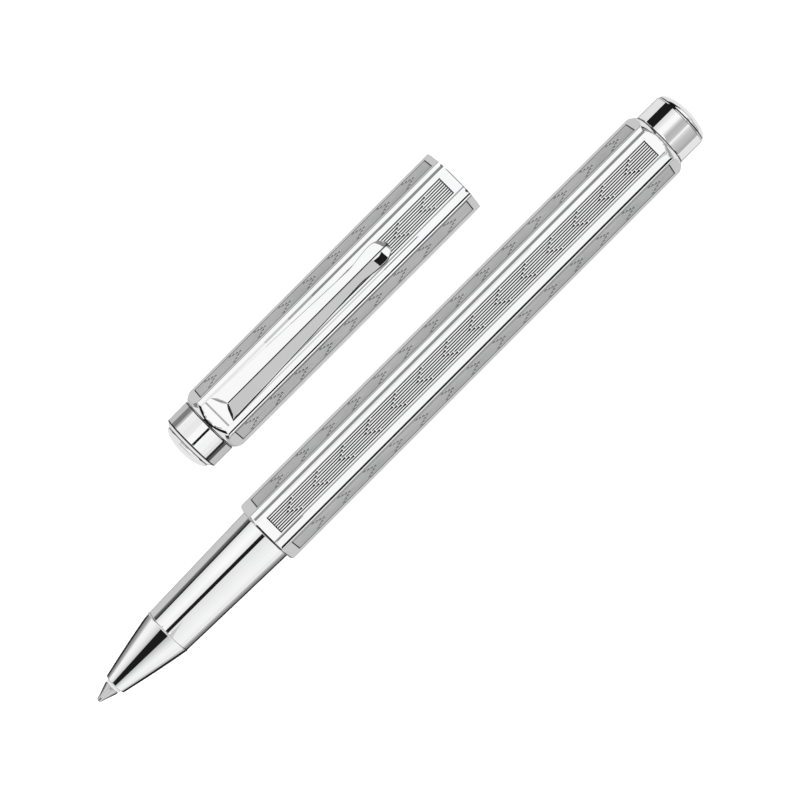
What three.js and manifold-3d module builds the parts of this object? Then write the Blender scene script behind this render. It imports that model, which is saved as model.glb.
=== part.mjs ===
// Rollerball pen with a six-sided barrel, lying beside its cap. Millimetres, +Z up.
// The pen's axis runs along +X, from the writing tip to the rear knob. The origin is on the
// underside of the barrel, halfway along it.
import * as THREE from 'three';
import { mergeVertices } from 'three/addons/utils/BufferGeometryUtils.js';
import Module from 'manifold-3d';

const wasm = await Module();
wasm.setup();

// ---- fits and gaps
const FACE_GAP = 0.02;          // between two faces that meet
const PRESS_GAP = 0.02;         // radial, between two pressed or glued pieces
const THREAD_GAP = 0.05;        // radial, between the plain stand-ins of two threads
const REFILL_GAP = 0.1;         // radial, around the refill
const BALL_GAP = 0.02;          // radial, between ball and socket
const CAP_GAP = 0.11;           // radial, between cap bore and grip
const CLIP_GAP = 0.3;           // around the clip's tang
const CLIP_LIFT_GAP = 0.2;      // between the clip's foot and the cap

// ---- refill
const BALL_RADIUS = 0.35;
const BALL_STANDS_OUT = 0.2;
const TIP_LIP_WALL = 0.07;
const TIP_CONE_LENGTH = 2.8;
const TIP_BASE_RADIUS = 1.2;
const TIP_SHANK_RADIUS = 0.75;
const TIP_SHANK_LENGTH = 3;
const INK_CHANNEL_RADIUS = 0.22;
const HOLDER_NECK_RADIUS = 1.3;
const HOLDER_NECK_LENGTH = 5;
const HOLDER_WAIST_RADIUS = 2.15;
const HOLDER_WAIST_LENGTH = 4.5;
const HOLDER_HEAD_LENGTH = 3.5;
const HOLDER_SPIGOT_LENGTH = 4;
const REFILL_RADIUS = 3.05;
const REFILL_WALL = 0.25;
const END_PLUG_LENGTH = 2.4;
const END_PLUG_FLANGE = 0.6;
const WICK_RADIUS = 0.5;
const WICK_IN_RESERVOIR = 9;
const RESERVOIR_GAP = 0.08;
const RESERVOIR_FRONT_SPACE = 2;
const RESERVOIR_REAR_SPACE = 1.5;

// ---- section: nose, grip and threaded core
const COLLAR_SHOWS = 0.57;      // length of the refill's neck in front of the nose
const NOSE_LENGTH = 11.23;
const NOSE_FRONT_WALL = 0.37;
const NOSE_STEP = 0.09;         // how far the nose's rim stands over the grip
const NOSE_SWELL = 0.08;        // how far the nose's side bulges from a straight cone
const NOSE_THROAT_LENGTH = 4;
const NOSE_SPIGOT_LENGTH = 4;
const GRIP_LENGTH = 20.5;
const GRIP_WALL = 0.41;
const GRIP_FLARE = 0.55;        // growth of the grip's radius from front to rear
const CORE_WALL = 0.4;
const THREAD_STEP = 0.4;        // thread's outside over the core's
const THREAD_LENGTH = 8;

// ---- barrel
const BARREL_LENGTH = 82.6;
const BARREL_BORE_WALL = 0.96;
const BUSH_WALL = 0.42;
const BUSH_RECESS = 0.6;
const BUSH_TAIL = 1.5;
const HEX_CORNER_RADIUS = 1.86;
const HEX_EDGE_BREAK = 0.4;
const SHOULDER_LENGTH = 0.95;
const SHOULDER_DROP = 0.7;
const SPRING_LENGTH = 6.3;
const SPRING_WIRE_RADIUS = 0.22;
const SPRING_TURNS = 5;
const SPRING_SEAT_LENGTH = 0.95;

// ---- rear knob and dome
const KNOB_LENGTH = 4.6;
const KNOB_RADIUS_UNDER_FLAT = 0.39;
const KNOB_SPIGOT_WALL = 0.8;
const KNOB_CHAMFER_LENGTH = 0.3;
const KNOB_CHAMFER_DROP = 0.2;
const DOME_HEIGHT = 1.5;
const STUD_RADIUS = 1.45;
const STUD_LENGTH = 2.5;

// ---- cap
const CAP_WALL = 0.41;          // at the middle of a flat
const CAP_KNOB_LENGTH = 4.45;
const CAP_KNOB_UNDER_FLAT = 0.22;
const CAP_CHAMFER_LENGTH = 0.57;
const CAP_CHAMFER_DROP = 0.8;
const CAP_DOME_HEIGHT = 1.45;
const CAP_SHOULDER_LENGTH = 1.6;
const CAP_END_WALL = 1.3;
const CAP_SPIGOT_RADIUS = 2.55;
const ANCHOR_LENGTH = 4.85;
const SCREW_RADIUS = 1.2;
const SCREW_ENGAGEMENT = 4;
const SCREW_HEAD_LENGTH = 1.4;
const SCREW_HEAD_RADIUS = 3.6;
const SCREW_SLOT_WIDTH = 0.8;
const SCREW_SLOT_DEPTH = 0.7;
const CAP_HEADROOM = 6.75;      // from the screw's head to the liner
const LINER_LENGTH = 22.5;
const LINER_WALL = 0.35;
const LINER_FLOOR = 0.6;
const SEAL_THICKNESS = 0.9;
const SEAL_GAP = 0.3;
const SNAP_RING_WIDTH = 1.5;
const SNAP_RING_WALL = 0.32;
const SNAP_RING_SPLIT = 1.2;
const CAP_BESIDE = 17.37;       // distance between the pen's axis and the cap's
const CAP_BEHIND_TIP = 34.9;    // how far the cap's dome lies behind the pen's ball

// ---- clip, measured along the cap from its dome end
const CLIP_START = 7.2;
const CLIP_RAMP_LENGTH = 3.2;
const CLIP_ARM_END = 36.5;
const CLIP_LENGTH = 36.3;
const CLIP_ROOT_HALF_WIDTH = 2.4;
const CLIP_ARM_HALF_WIDTH = 1.35;
const CLIP_BALL_HALF_WIDTH = 1.8;
const CLIP_BALL_HALF_LENGTH = 3.2;
const CLIP_FRONT_HEIGHT = 0.45;
const CLIP_EDGE_HEIGHT = 1.7;
const CLIP_RIDGE_HEIGHT = 2.45;
const CLIP_UNDERSIDE = 0.95;
const CLIP_ARCH_LENGTH = 5;
const CLIP_TIP_RIDGE_DROP = 0.35;
const CLIP_TOUCH_GAP = 0.15;
const TANG_START = 1.2;
const TANG_LENGTH = 2;
const TANG_HALF_WIDTH = 1.5;
const TANG_BELOW_SURFACE = 1.9;

// ---- fineness
const ROUND_SIDES = 36;
const SMALL_SIDES = 20;
const CORNER_STEPS = 4;
const ARC_STEPS = 6;
const WIRE_SIDES = 8;
const STEPS_PER_TURN = 14;

// ---- radii worked out from the refill outwards
const sectionBore = REFILL_RADIUS + REFILL_GAP;
const coreRadius = sectionBore + CORE_WALL;
const gripBore = coreRadius + PRESS_GAP;
const gripFrontRadius = gripBore + GRIP_WALL;
const gripRearRadius = gripFrontRadius + GRIP_FLARE;
const threadRadius = coreRadius + THREAD_STEP;
const bushBore = threadRadius + THREAD_GAP;
const bushRadius = bushBore + BUSH_WALL;
const bushSeatRadius = bushRadius + PRESS_GAP;
const capBore = gripRearRadius + CAP_GAP;
const flatHeight = capBore + CAP_WALL;                 // from the axis to a flat
const cornerCentre = (flatHeight - HEX_CORNER_RADIUS) / Math.cos(Math.PI / 6);
const cornerReach = cornerCentre + HEX_CORNER_RADIUS;  // from the axis to a rounded corner
const barrelBore = flatHeight - BARREL_BORE_WALL;
const knobRadius = flatHeight - KNOB_RADIUS_UNDER_FLAT;
const knobSpigotRadius = barrelBore - PRESS_GAP;
const knobSpigotBore = knobSpigotRadius - KNOB_SPIGOT_WALL;
const capKnobRadius = flatHeight - CAP_KNOB_UNDER_FLAT;
const domeRadius = knobRadius - KNOB_CHAMFER_DROP;
const capDomeRadius = capKnobRadius - CAP_CHAMFER_DROP;
const refillBore = REFILL_RADIUS - REFILL_WALL;

// ---- places along the pen, from the ball's front
const lipX = BALL_STANDS_OUT;
const tipBaseX = lipX + TIP_CONE_LENGTH;
const noseX = tipBaseX + COLLAR_SHOWS;
const gripX = noseX + NOSE_LENGTH;
const barrelX = gripX + GRIP_LENGTH;
const knobX = barrelX + BARREL_LENGTH;
const domeX = knobX + KNOB_LENGTH;
const seatX = knobX - SPRING_SEAT_LENGTH;
const refillEndX = seatX - SPRING_LENGTH;
const holderWaistX = tipBaseX + HOLDER_NECK_LENGTH;
const holderHeadX = holderWaistX + HOLDER_WAIST_LENGTH;
const tubeX = holderHeadX + HOLDER_HEAD_LENGTH;
const reservoirX = tubeX + HOLDER_SPIGOT_LENGTH + RESERVOIR_FRONT_SPACE;
const originX = barrelX + BARREL_LENGTH / 2;

// ---- places along the cap, from its dome end
const capShellX = CAP_DOME_HEIGHT + CAP_KNOB_LENGTH;
const anchorX = capShellX + CAP_END_WALL + FACE_GAP;
const screwHeadX = anchorX + ANCHOR_LENGTH + FACE_GAP;
const linerX = screwHeadX + SCREW_HEAD_LENGTH + CAP_HEADROOM;
const cappedBallX = linerX + LINER_FLOOR + FACE_GAP + SEAL_THICKNESS + SEAL_GAP;
const mouthX = cappedBallX + barrelX;
const linerBore = capBore - PRESS_GAP - LINER_WALL;

// ---- materials
const metal = (color, roughness) =>
  new THREE.MeshStandardMaterial({ color, roughness, metalness: 1 });
const plastic = (color, roughness) =>
  new THREE.MeshStandardMaterial({ color, roughness, metalness: 0 });
const polished = metal(0xe4e5e7, 0.08);
const engraved = metal(0xdcdddf, 0.16);
const steel = metal(0xb9babc, 0.3);
const brass = metal(0xc9a45c, 0.35);

// ---- solids
function facesOut(geometry) {
  geometry.deleteAttribute('normal');
  geometry.deleteAttribute('uv');
  const merged = mergeVertices(geometry);
  const [a, b, c] = [new THREE.Vector3(), new THREE.Vector3(), new THREE.Vector3()];
  const position = merged.attributes.position;
  const faces = [];
  let volume = 0;
  for (let i = 0; i < merged.index.count; i += 3) {
    const face = [0, 1, 2].map((k) => merged.index.getX(i + k));
    if (new Set(face).size < 3) continue;
    faces.push(face);
    a.fromBufferAttribute(position, face[0]);
    b.fromBufferAttribute(position, face[1]);
    c.fromBufferAttribute(position, face[2]);
    volume += a.dot(b.cross(c));
  }
  merged.setIndex(faces.flatMap(([i, j, k]) => (volume < 0 ? [i, k, j] : [i, j, k])));
  return merged;
}

function toSolid(geometry) {
  const closed = facesOut(geometry);
  const vertProperties = new Float32Array(closed.attributes.position.array);
  const triVerts = new Uint32Array(closed.index.array);
  return new wasm.Manifold(new wasm.Mesh({ numProp: 3, vertProperties, triVerts }));
}

function toGeometry(solid) {
  const mesh = solid.getMesh();
  const geometry = new THREE.BufferGeometry();
  geometry.setAttribute('position', new THREE.BufferAttribute(mesh.vertProperties, 3));
  geometry.setIndex(new THREE.BufferAttribute(mesh.triVerts, 1));
  return geometry;
}

// Turns an outline of [x, radius] points about the X axis. An outline that doesn't start on
// the axis is a ring, and closes on itself.
function turned(outline, sides = ROUND_SIDES) {
  const points = outline.map(([x, radius]) => new THREE.Vector2(radius, x));
  if (outline[0][1] > 0) points.push(points[0].clone());
  return facesOut(new THREE.LatheGeometry(points, sides).rotateZ(-Math.PI / 2));
}

function tube(start, end, outer, inner, sides = ROUND_SIDES) {
  return turned([[start, inner], [start, outer], [end, outer], [end, inner]], sides);
}

function rod(start, end, radius, sides = ROUND_SIDES) {
  return turned([[start, 0], [start, radius], [end, radius], [end, 0]], sides);
}

function block(low, high) {
  const size = high.map((value, k) => value - low[k]);
  const middle = high.map((value, k) => (value + low[k]) / 2);
  return new THREE.BoxGeometry(...size).translate(...middle);
}

// Joins rings of equally many points into a closed skin, with a flat end on each side.
function loft(rings) {
  const count = rings[0].length;
  const faces = [];
  for (let r = 0; r + 1 < rings.length; r += 1) {
    for (let k = 0; k < count; k += 1) {
      const next = (k + 1) % count;
      const [a, b] = [r * count + k, r * count + next];
      faces.push(a, b, a + count, b, b + count, a + count);
    }
  }
  const last = (rings.length - 1) * count;
  for (let k = 1; k + 1 < count; k += 1) {
    faces.push(0, k + 1, k, last, last + k, last + k + 1);
  }
  const geometry = new THREE.BufferGeometry();
  geometry.setAttribute('position', new THREE.Float32BufferAttribute(rings.flat(2), 3));
  geometry.setIndex(faces);
  return facesOut(geometry);
}

// Points [x, radius] of a quarter ellipse from the rim at `rimX` to the axis at `topX`.
function domeArc(rimX, topX, radius) {
  const points = [];
  for (let k = 0; k <= ARC_STEPS; k += 1) {
    const angle = (k / ARC_STEPS) * (Math.PI / 2);
    const reach = k === ARC_STEPS ? 0 : radius * Math.cos(angle);
    points.push([rimX + (topX - rimX) * Math.sin(angle), reach]);
  }
  return points;
}

// A six-sided bar with rounded corners, with a flat on top and one underneath.
function sixSided(start, end) {
  const corners = [];
  for (let corner = 0; corner < 6; corner += 1) {
    const middle = (corner * Math.PI) / 3;
    for (let k = 0; k <= CORNER_STEPS; k += 1) {
      const angle = middle + (k / CORNER_STEPS - 0.5) * (Math.PI / 3);
      corners.push(new THREE.Vector2(
        cornerCentre * Math.cos(middle) + HEX_CORNER_RADIUS * Math.cos(angle),
        cornerCentre * Math.sin(middle) + HEX_CORNER_RADIUS * Math.sin(angle),
      ));
    }
  }
  const bar = new THREE.ExtrudeGeometry(new THREE.Shape(corners), {
    depth: end - start, bevelEnabled: false,
  });
  const alongX = new THREE.Matrix4().makeBasis(
    new THREE.Vector3(0, 1, 0), new THREE.Vector3(0, 0, 1), new THREE.Vector3(1, 0, 0),
  );
  return bar.applyMatrix4(alongX).translate(start, 0, 0);
}

function piece(name, geometry, material) {
  const mesh = new THREE.Mesh(geometry, material);
  mesh.name = name;
  return mesh;
}

// ---- refill
function writingBall() {
  return new THREE.SphereGeometry(BALL_RADIUS, SMALL_SIDES, ARC_STEPS * 2)
    .translate(BALL_RADIUS, 0, 0);
}

// The socket is a sphere around the ball. Its lip is narrower than the ball, which holds it.
function writingTip() {
  const socket = BALL_RADIUS + BALL_GAP;
  const lipAngle = Math.acos((BALL_RADIUS - lipX) / socket);
  const seatAngle = Math.PI - Math.asin(INK_CHANNEL_RADIUS / socket);
  const outline = [];
  for (let k = 0; k <= ARC_STEPS * 2; k += 1) {
    const angle = seatAngle + (k / (ARC_STEPS * 2)) * (lipAngle - seatAngle);
    outline.push([BALL_RADIUS - socket * Math.cos(angle), socket * Math.sin(angle)]);
  }
  const shankEndX = tipBaseX + TIP_SHANK_LENGTH;
  const lipRadius = socket * Math.sin(lipAngle) + TIP_LIP_WALL;
  outline.push([lipX, lipRadius], [tipBaseX, TIP_BASE_RADIUS]);
  outline.push([tipBaseX, TIP_SHANK_RADIUS], [shankEndX, TIP_SHANK_RADIUS]);
  outline.push([shankEndX, INK_CHANNEL_RADIUS]);
  return turned(outline, SMALL_SIDES);
}

function refillHolder() {
  const front = tipBaseX + FACE_GAP;
  const shankEndX = tipBaseX + TIP_SHANK_LENGTH + FACE_GAP;
  const spigotEndX = tubeX + HOLDER_SPIGOT_LENGTH;
  const wickHole = WICK_RADIUS + PRESS_GAP;
  const taper = HOLDER_WAIST_RADIUS - HOLDER_NECK_RADIUS;
  return turned([
    [front, TIP_SHANK_RADIUS + PRESS_GAP],
    [front, HOLDER_NECK_RADIUS],
    [holderWaistX, HOLDER_NECK_RADIUS],
    [holderWaistX + taper, HOLDER_WAIST_RADIUS],
    [holderHeadX, HOLDER_WAIST_RADIUS],
    [holderHeadX + REFILL_RADIUS - HOLDER_WAIST_RADIUS, REFILL_RADIUS],
    [tubeX - FACE_GAP, REFILL_RADIUS],
    [tubeX - FACE_GAP, refillBore - PRESS_GAP],
    [spigotEndX, refillBore - PRESS_GAP],
    [spigotEndX, wickHole],
    [shankEndX, wickHole],
    [shankEndX, TIP_SHANK_RADIUS + PRESS_GAP],
  ]);
}

function endPlug() {
  const flangeX = refillEndX - END_PLUG_FLANGE;
  return turned([
    [flangeX - END_PLUG_LENGTH, 0],
    [flangeX - END_PLUG_LENGTH, refillBore - PRESS_GAP],
    [flangeX, refillBore - PRESS_GAP],
    [flangeX, REFILL_RADIUS],
    [refillEndX, REFILL_RADIUS],
    [refillEndX, 0],
  ]);
}

// The fibre rod has a blind hole in its front for the wick.
function inkReservoir() {
  const radius = refillBore - RESERVOIR_GAP;
  const rearX = refillEndX - END_PLUG_FLANGE - END_PLUG_LENGTH - RESERVOIR_REAR_SPACE;
  const holeEndX = reservoirX + WICK_IN_RESERVOIR + FACE_GAP;
  const hole = WICK_RADIUS + RESERVOIR_GAP;
  return turned([
    [holeEndX, 0], [holeEndX, hole], [reservoirX, hole],
    [reservoirX, radius], [rearX, radius], [rearX, 0],
  ]);
}

function feedWick() {
  const start = tipBaseX + TIP_SHANK_LENGTH + 2 * FACE_GAP;
  return rod(start, reservoirX + WICK_IN_RESERVOIR, WICK_RADIUS, SMALL_SIDES);
}

function refill() {
  const tubeEndX = refillEndX - END_PLUG_FLANGE - FACE_GAP;
  return [
    piece('writing_ball', writingBall(), metal(0x8f9196, 0.2)),
    piece('writing_tip', writingTip(), steel),
    piece('refill_holder', refillHolder(), plastic(0xe9eaec, 0.4)),
    piece('refill_tube', tube(tubeX, tubeEndX, REFILL_RADIUS, refillBore), steel),
    piece('refill_end_plug', endPlug(), plastic(0x2a2b2f, 0.5)),
    piece('ink_reservoir', inkReservoir(), plastic(0x23304f, 0.9)),
    piece('feed_wick', feedWick(), plastic(0x1d2742, 0.9)),
  ];
}

// ---- section
// The nose's side swells a little over a straight cone.
function noseCone() {
  const frontBore = HOLDER_NECK_RADIUS + REFILL_GAP;
  const frontRadius = frontBore + NOSE_FRONT_WALL;
  const rimRadius = gripFrontRadius + NOSE_STEP;
  const outer = [];
  for (let k = 0; k <= ARC_STEPS; k += 1) {
    const share = k / ARC_STEPS;
    const swell = NOSE_SWELL * Math.sin(Math.PI * share);
    outer.push([noseX + share * NOSE_LENGTH,
      frontRadius + share * (rimRadius - frontRadius) + swell]);
  }
  const throatX = noseX + NOSE_THROAT_LENGTH;
  const waistBore = HOLDER_WAIST_RADIUS + REFILL_GAP;
  const seatStartX = holderHeadX - REFILL_GAP;
  return turned([
    [noseX, frontBore],
    ...outer,
    [gripX, gripBore - PRESS_GAP],
    [gripX + NOSE_SPIGOT_LENGTH, gripBore - PRESS_GAP],
    [gripX + NOSE_SPIGOT_LENGTH, sectionBore],
    [seatStartX + sectionBore - waistBore, sectionBore],
    [seatStartX, waistBore],
    [throatX + waistBore - frontBore, waistBore],
    [throatX, frontBore],
  ]);
}

function gripSleeve() {
  return turned([
    [gripX + FACE_GAP, gripBore],
    [gripX + FACE_GAP, gripFrontRadius],
    [barrelX - FACE_GAP, gripRearRadius],
    [barrelX - FACE_GAP, gripBore],
  ]);
}

// The core runs inside the grip. Its rear end is the thread that screws into the barrel.
function sectionCore() {
  return turned([
    [gripX + NOSE_SPIGOT_LENGTH + FACE_GAP, sectionBore],
    [gripX + NOSE_SPIGOT_LENGTH + FACE_GAP, coreRadius],
    [barrelX, coreRadius],
    [barrelX, threadRadius],
    [barrelX + THREAD_LENGTH, threadRadius],
    [barrelX + THREAD_LENGTH, sectionBore],
  ]);
}

function section() {
  return [
    piece('nose_cone', noseCone(), polished),
    piece('grip_sleeve', gripSleeve(), polished),
    piece('section_core', sectionCore(), brass),
  ];
}

// ---- barrel
function barrelShell() {
  const bushEndX = barrelX + BUSH_RECESS + THREAD_LENGTH + BUSH_TAIL;
  const outside = toSolid(sixSided(barrelX, knobX));
  const envelope = toSolid(turned([
    [barrelX, 0],
    [barrelX, cornerReach - HEX_EDGE_BREAK],
    [barrelX + HEX_EDGE_BREAK, cornerReach + FACE_GAP],
    [knobX - SHOULDER_LENGTH, cornerReach + FACE_GAP],
    [knobX, cornerReach - SHOULDER_DROP],
    [knobX, 0],
  ]));
  const hollow = toSolid(turned([
    [barrelX - 1, 0],
    [barrelX - 1, bushSeatRadius],
    [bushEndX + FACE_GAP, bushSeatRadius],
    [bushEndX + FACE_GAP, barrelBore],
    [knobX + 1, barrelBore],
    [knobX + 1, 0],
  ]));
  return toGeometry(outside.intersect(envelope).subtract(hollow));
}

function threadBush() {
  const start = barrelX + BUSH_RECESS;
  return tube(start, start + THREAD_LENGTH + BUSH_TAIL, bushRadius, bushBore);
}

function rearKnob() {
  const spigotX = refillEndX + FACE_GAP + SPRING_WIRE_RADIUS;
  const studHole = STUD_RADIUS + PRESS_GAP;
  return turned([
    [knobX - FACE_GAP, 0],
    [knobX - FACE_GAP, knobSpigotBore],
    [spigotX, knobSpigotBore],
    [spigotX, knobSpigotRadius],
    [knobX + FACE_GAP, knobSpigotRadius],
    [knobX + FACE_GAP, knobRadius],
    [domeX - KNOB_CHAMFER_LENGTH, knobRadius],
    [domeX, domeRadius],
    [domeX, studHole],
    [domeX - STUD_LENGTH - FACE_GAP, studHole],
    [domeX - STUD_LENGTH - FACE_GAP, 0],
  ]);
}

function rearDome() {
  const rimX = domeX + FACE_GAP;
  return turned([
    [domeX - STUD_LENGTH, 0],
    [domeX - STUD_LENGTH, STUD_RADIUS],
    [rimX, STUD_RADIUS],
    ...domeArc(rimX, domeX + DOME_HEIGHT, domeRadius),
  ]);
}

function springSeat() {
  const radius = knobSpigotBore - PRESS_GAP;
  return rod(seatX + FACE_GAP, knobX - 2 * FACE_GAP, radius);
}

class SpringLine extends THREE.Curve {
  constructor(start, end, radius, turns) {
    super();
    Object.assign(this, { start, end, radius, turns });
  }

  getPoint(t) {
    const angle = t * this.turns * 2 * Math.PI;
    return new THREE.Vector3(
      this.start + t * (this.end - this.start),
      this.radius * Math.cos(angle),
      this.radius * Math.sin(angle),
    );
  }
}

function refillSpring() {
  const wire = new THREE.Shape();
  wire.absarc(0, 0, SPRING_WIRE_RADIUS, 0, 2 * Math.PI);
  const coilRadius = knobSpigotBore - REFILL_GAP - 2 * SPRING_WIRE_RADIUS;
  const inset = SPRING_WIRE_RADIUS * 1.5;
  const line = new SpringLine(
    refillEndX + inset, seatX - inset, coilRadius, SPRING_TURNS,
  );
  return facesOut(new THREE.ExtrudeGeometry(wire, {
    steps: SPRING_TURNS * STEPS_PER_TURN, curveSegments: WIRE_SIDES / 2, extrudePath: line,
  }));
}

function barrel() {
  return [
    piece('barrel_shell', barrelShell(), engraved),
    piece('barrel_thread_bush', threadBush(), brass),
    piece('rear_knob', rearKnob(), polished),
    piece('rear_dome', rearDome(), polished),
    piece('spring_seat', springSeat(), plastic(0x3a3b40, 0.5)),
    piece('refill_spring', refillSpring(), steel),
  ];
}

// ---- cap
function clipSlot(depthFromAxis) {
  const start = CLIP_START + TANG_START - CLIP_GAP;
  const halfWidth = TANG_HALF_WIDTH + CLIP_GAP;
  return toSolid(block(
    [start, -halfWidth, depthFromAxis],
    [start + TANG_LENGTH + 2 * CLIP_GAP, halfWidth, cornerReach + 1],
  ));
}

function capShell() {
  const outside = toSolid(sixSided(capShellX, mouthX));
  const envelope = toSolid(turned([
    [capShellX, 0],
    [capShellX, cornerReach - SHOULDER_DROP],
    [capShellX + CAP_SHOULDER_LENGTH, cornerReach + FACE_GAP],
    [mouthX, cornerReach + FACE_GAP],
    [mouthX, 0],
  ]));
  const hollow = toSolid(turned([
    [capShellX - 1, 0],
    [capShellX - 1, CAP_SPIGOT_RADIUS + PRESS_GAP],
    [capShellX + CAP_END_WALL, CAP_SPIGOT_RADIUS + PRESS_GAP],
    [capShellX + CAP_END_WALL, capBore],
    [mouthX + 1, capBore],
    [mouthX + 1, 0],
  ]));
  const slot = clipSlot(CAP_SPIGOT_RADIUS + CLIP_GAP);
  return toGeometry(outside.intersect(envelope).subtract(hollow).subtract(slot));
}

function capKnob() {
  const spigotEndX = anchorX + ANCHOR_LENGTH;
  const holeX = spigotEndX - SCREW_ENGAGEMENT - FACE_GAP;
  const hole = SCREW_RADIUS + THREAD_GAP;
  return turned([
    [CAP_DOME_HEIGHT + FACE_GAP, STUD_RADIUS + PRESS_GAP],
    [CAP_DOME_HEIGHT + FACE_GAP, capDomeRadius],
    [CAP_DOME_HEIGHT + CAP_CHAMFER_LENGTH, capKnobRadius],
    [capShellX - FACE_GAP, capKnobRadius],
    [capShellX - FACE_GAP, CAP_SPIGOT_RADIUS],
    [spigotEndX, CAP_SPIGOT_RADIUS],
    [spigotEndX, hole],
    [holeX, hole],
    [holeX, STUD_RADIUS + PRESS_GAP],
  ]);
}

function capDome() {
  return turned([
    ...domeArc(CAP_DOME_HEIGHT, 0, capDomeRadius).reverse(),
    [CAP_DOME_HEIGHT, STUD_RADIUS],
    [CAP_DOME_HEIGHT + STUD_LENGTH, STUD_RADIUS],
    [CAP_DOME_HEIGHT + STUD_LENGTH, 0],
  ]);
}

function clipAnchor() {
  const ring = tube(anchorX, anchorX + ANCHOR_LENGTH, capBore - PRESS_GAP,
    CAP_SPIGOT_RADIUS + PRESS_GAP);
  const slot = clipSlot(CAP_SPIGOT_RADIUS + CLIP_GAP);
  return toGeometry(toSolid(ring).subtract(slot));
}

function capScrew() {
  const headEndX = screwHeadX + SCREW_HEAD_LENGTH;
  const screw = toSolid(turned([
    [screwHeadX - SCREW_ENGAGEMENT, 0],
    [screwHeadX - SCREW_ENGAGEMENT, SCREW_RADIUS],
    [screwHeadX, SCREW_RADIUS],
    [screwHeadX, SCREW_HEAD_RADIUS],
    [headEndX, SCREW_HEAD_RADIUS],
    [headEndX, 0],
  ]));
  const reach = SCREW_HEAD_RADIUS + 1;
  const slot = toSolid(block(
    [headEndX - SCREW_SLOT_DEPTH, -reach, -SCREW_SLOT_WIDTH / 2],
    [headEndX + 1, reach, SCREW_SLOT_WIDTH / 2],
  ));
  return toGeometry(screw.subtract(slot));
}

function capLiner() {
  const radius = capBore - PRESS_GAP;
  return turned([
    [linerX, 0],
    [linerX, radius],
    [linerX + LINER_LENGTH, radius],
    [linerX + LINER_LENGTH, linerBore],
    [linerX + LINER_FLOOR, linerBore],
    [linerX + LINER_FLOOR, 0],
  ]);
}

function tipSeal() {
  const start = linerX + LINER_FLOOR + FACE_GAP;
  return rod(start, start + SEAL_THICKNESS, linerBore - PRESS_GAP);
}

function snapRing() {
  const start = linerX + LINER_LENGTH + FACE_GAP;
  const radius = capBore - PRESS_GAP;
  const ring = toSolid(tube(start, start + SNAP_RING_WIDTH, radius, radius - SNAP_RING_WALL));
  const split = toSolid(block(
    [start - 1, -SNAP_RING_SPLIT / 2, 0],
    [start + SNAP_RING_WIDTH + 1, SNAP_RING_SPLIT / 2, capBore + 1],
  ));
  return toGeometry(ring.subtract(split));
}

// The clip's section is a roof: two slopes over upright sides, which meet in a flat top of
// `topHalfWidth` or in a ridge.
function clipSection(x, halfWidth, underside, edge, ridge, topHalfWidth = 0) {
  return [
    [x, -halfWidth, underside], [x, halfWidth, underside], [x, halfWidth, edge],
    [x, topHalfWidth, ridge], [x, -topHalfWidth, ridge], [x, -halfWidth, edge],
  ];
}

function clip() {
  const foot = flatHeight + CLIP_LIFT_GAP;
  const arch = flatHeight + CLIP_UNDERSIDE;
  const edge = flatHeight + CLIP_EDGE_HEIGHT;
  const ridge = flatHeight + CLIP_RIDGE_HEIGHT;
  const front = foot + CLIP_FRONT_HEIGHT;
  const root = CLIP_ROOT_HALF_WIDTH;
  const rampEndX = CLIP_START + CLIP_RAMP_LENGTH;
  const hipX = CLIP_START + (CLIP_RAMP_LENGTH * (edge - front)) / (ridge - front);
  const armEndX = CLIP_ARM_END;
  const tipRidge = ridge - CLIP_TIP_RIDGE_DROP;
  const arm = toSolid(loft([
    clipSection(CLIP_START, root, foot, front, front, root),
    clipSection(hipX, root, foot, edge, edge, root),
    clipSection(rampEndX, root, foot, edge, ridge),
    clipSection(rampEndX + CLIP_ARCH_LENGTH, root, arch, edge, ridge),
    clipSection(armEndX, CLIP_ARM_HALF_WIDTH, arch, edge, tipRidge),
    clipSection(armEndX + CLIP_BALL_HALF_LENGTH, CLIP_ARM_HALF_WIDTH, arch, edge, tipRidge),
  ]));
  const touch = flatHeight + CLIP_TOUCH_GAP;
  const ball = new THREE.SphereGeometry(1, SMALL_SIDES, ARC_STEPS * 2)
    .scale(CLIP_BALL_HALF_LENGTH, CLIP_BALL_HALF_WIDTH, (tipRidge - touch) / 2)
    .translate(CLIP_START + CLIP_LENGTH - CLIP_BALL_HALF_LENGTH, 0, (tipRidge + touch) / 2);
  const tangX = CLIP_START + TANG_START;
  const tang = block(
    [tangX, -TANG_HALF_WIDTH, flatHeight - TANG_BELOW_SURFACE],
    [tangX + TANG_LENGTH, TANG_HALF_WIDTH, foot + CLIP_FRONT_HEIGHT / 2],
  );
  return toGeometry(arm.add(toSolid(ball)).add(toSolid(tang)));
}

function cap() {
  return [
    piece('cap_shell', capShell(), engraved),
    piece('cap_knob', capKnob(), polished),
    piece('cap_dome', capDome(), polished),
    piece('clip', clip(), polished),
    piece('clip_anchor', clipAnchor(), steel),
    piece('cap_screw', capScrew(), steel),
    piece('cap_liner', capLiner(), plastic(0x26272a, 0.5)),
    piece('tip_seal', tipSeal(), plastic(0x1b1c1e, 0.8)),
    piece('cap_snap_ring', snapRing(), steel),
  ];
}

const pen = new THREE.Group();
pen.add(...refill(), ...section(), ...barrel());
pen.position.set(-originX, 0, flatHeight);

const capGroup = new THREE.Group();
capGroup.add(...cap());
capGroup.position.set(CAP_BEHIND_TIP - originX, CAP_BESIDE, flatHeight);

const rollerballPen = new THREE.Group();
rollerballPen.add(pen, capGroup);

export default rollerballPen;
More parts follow.
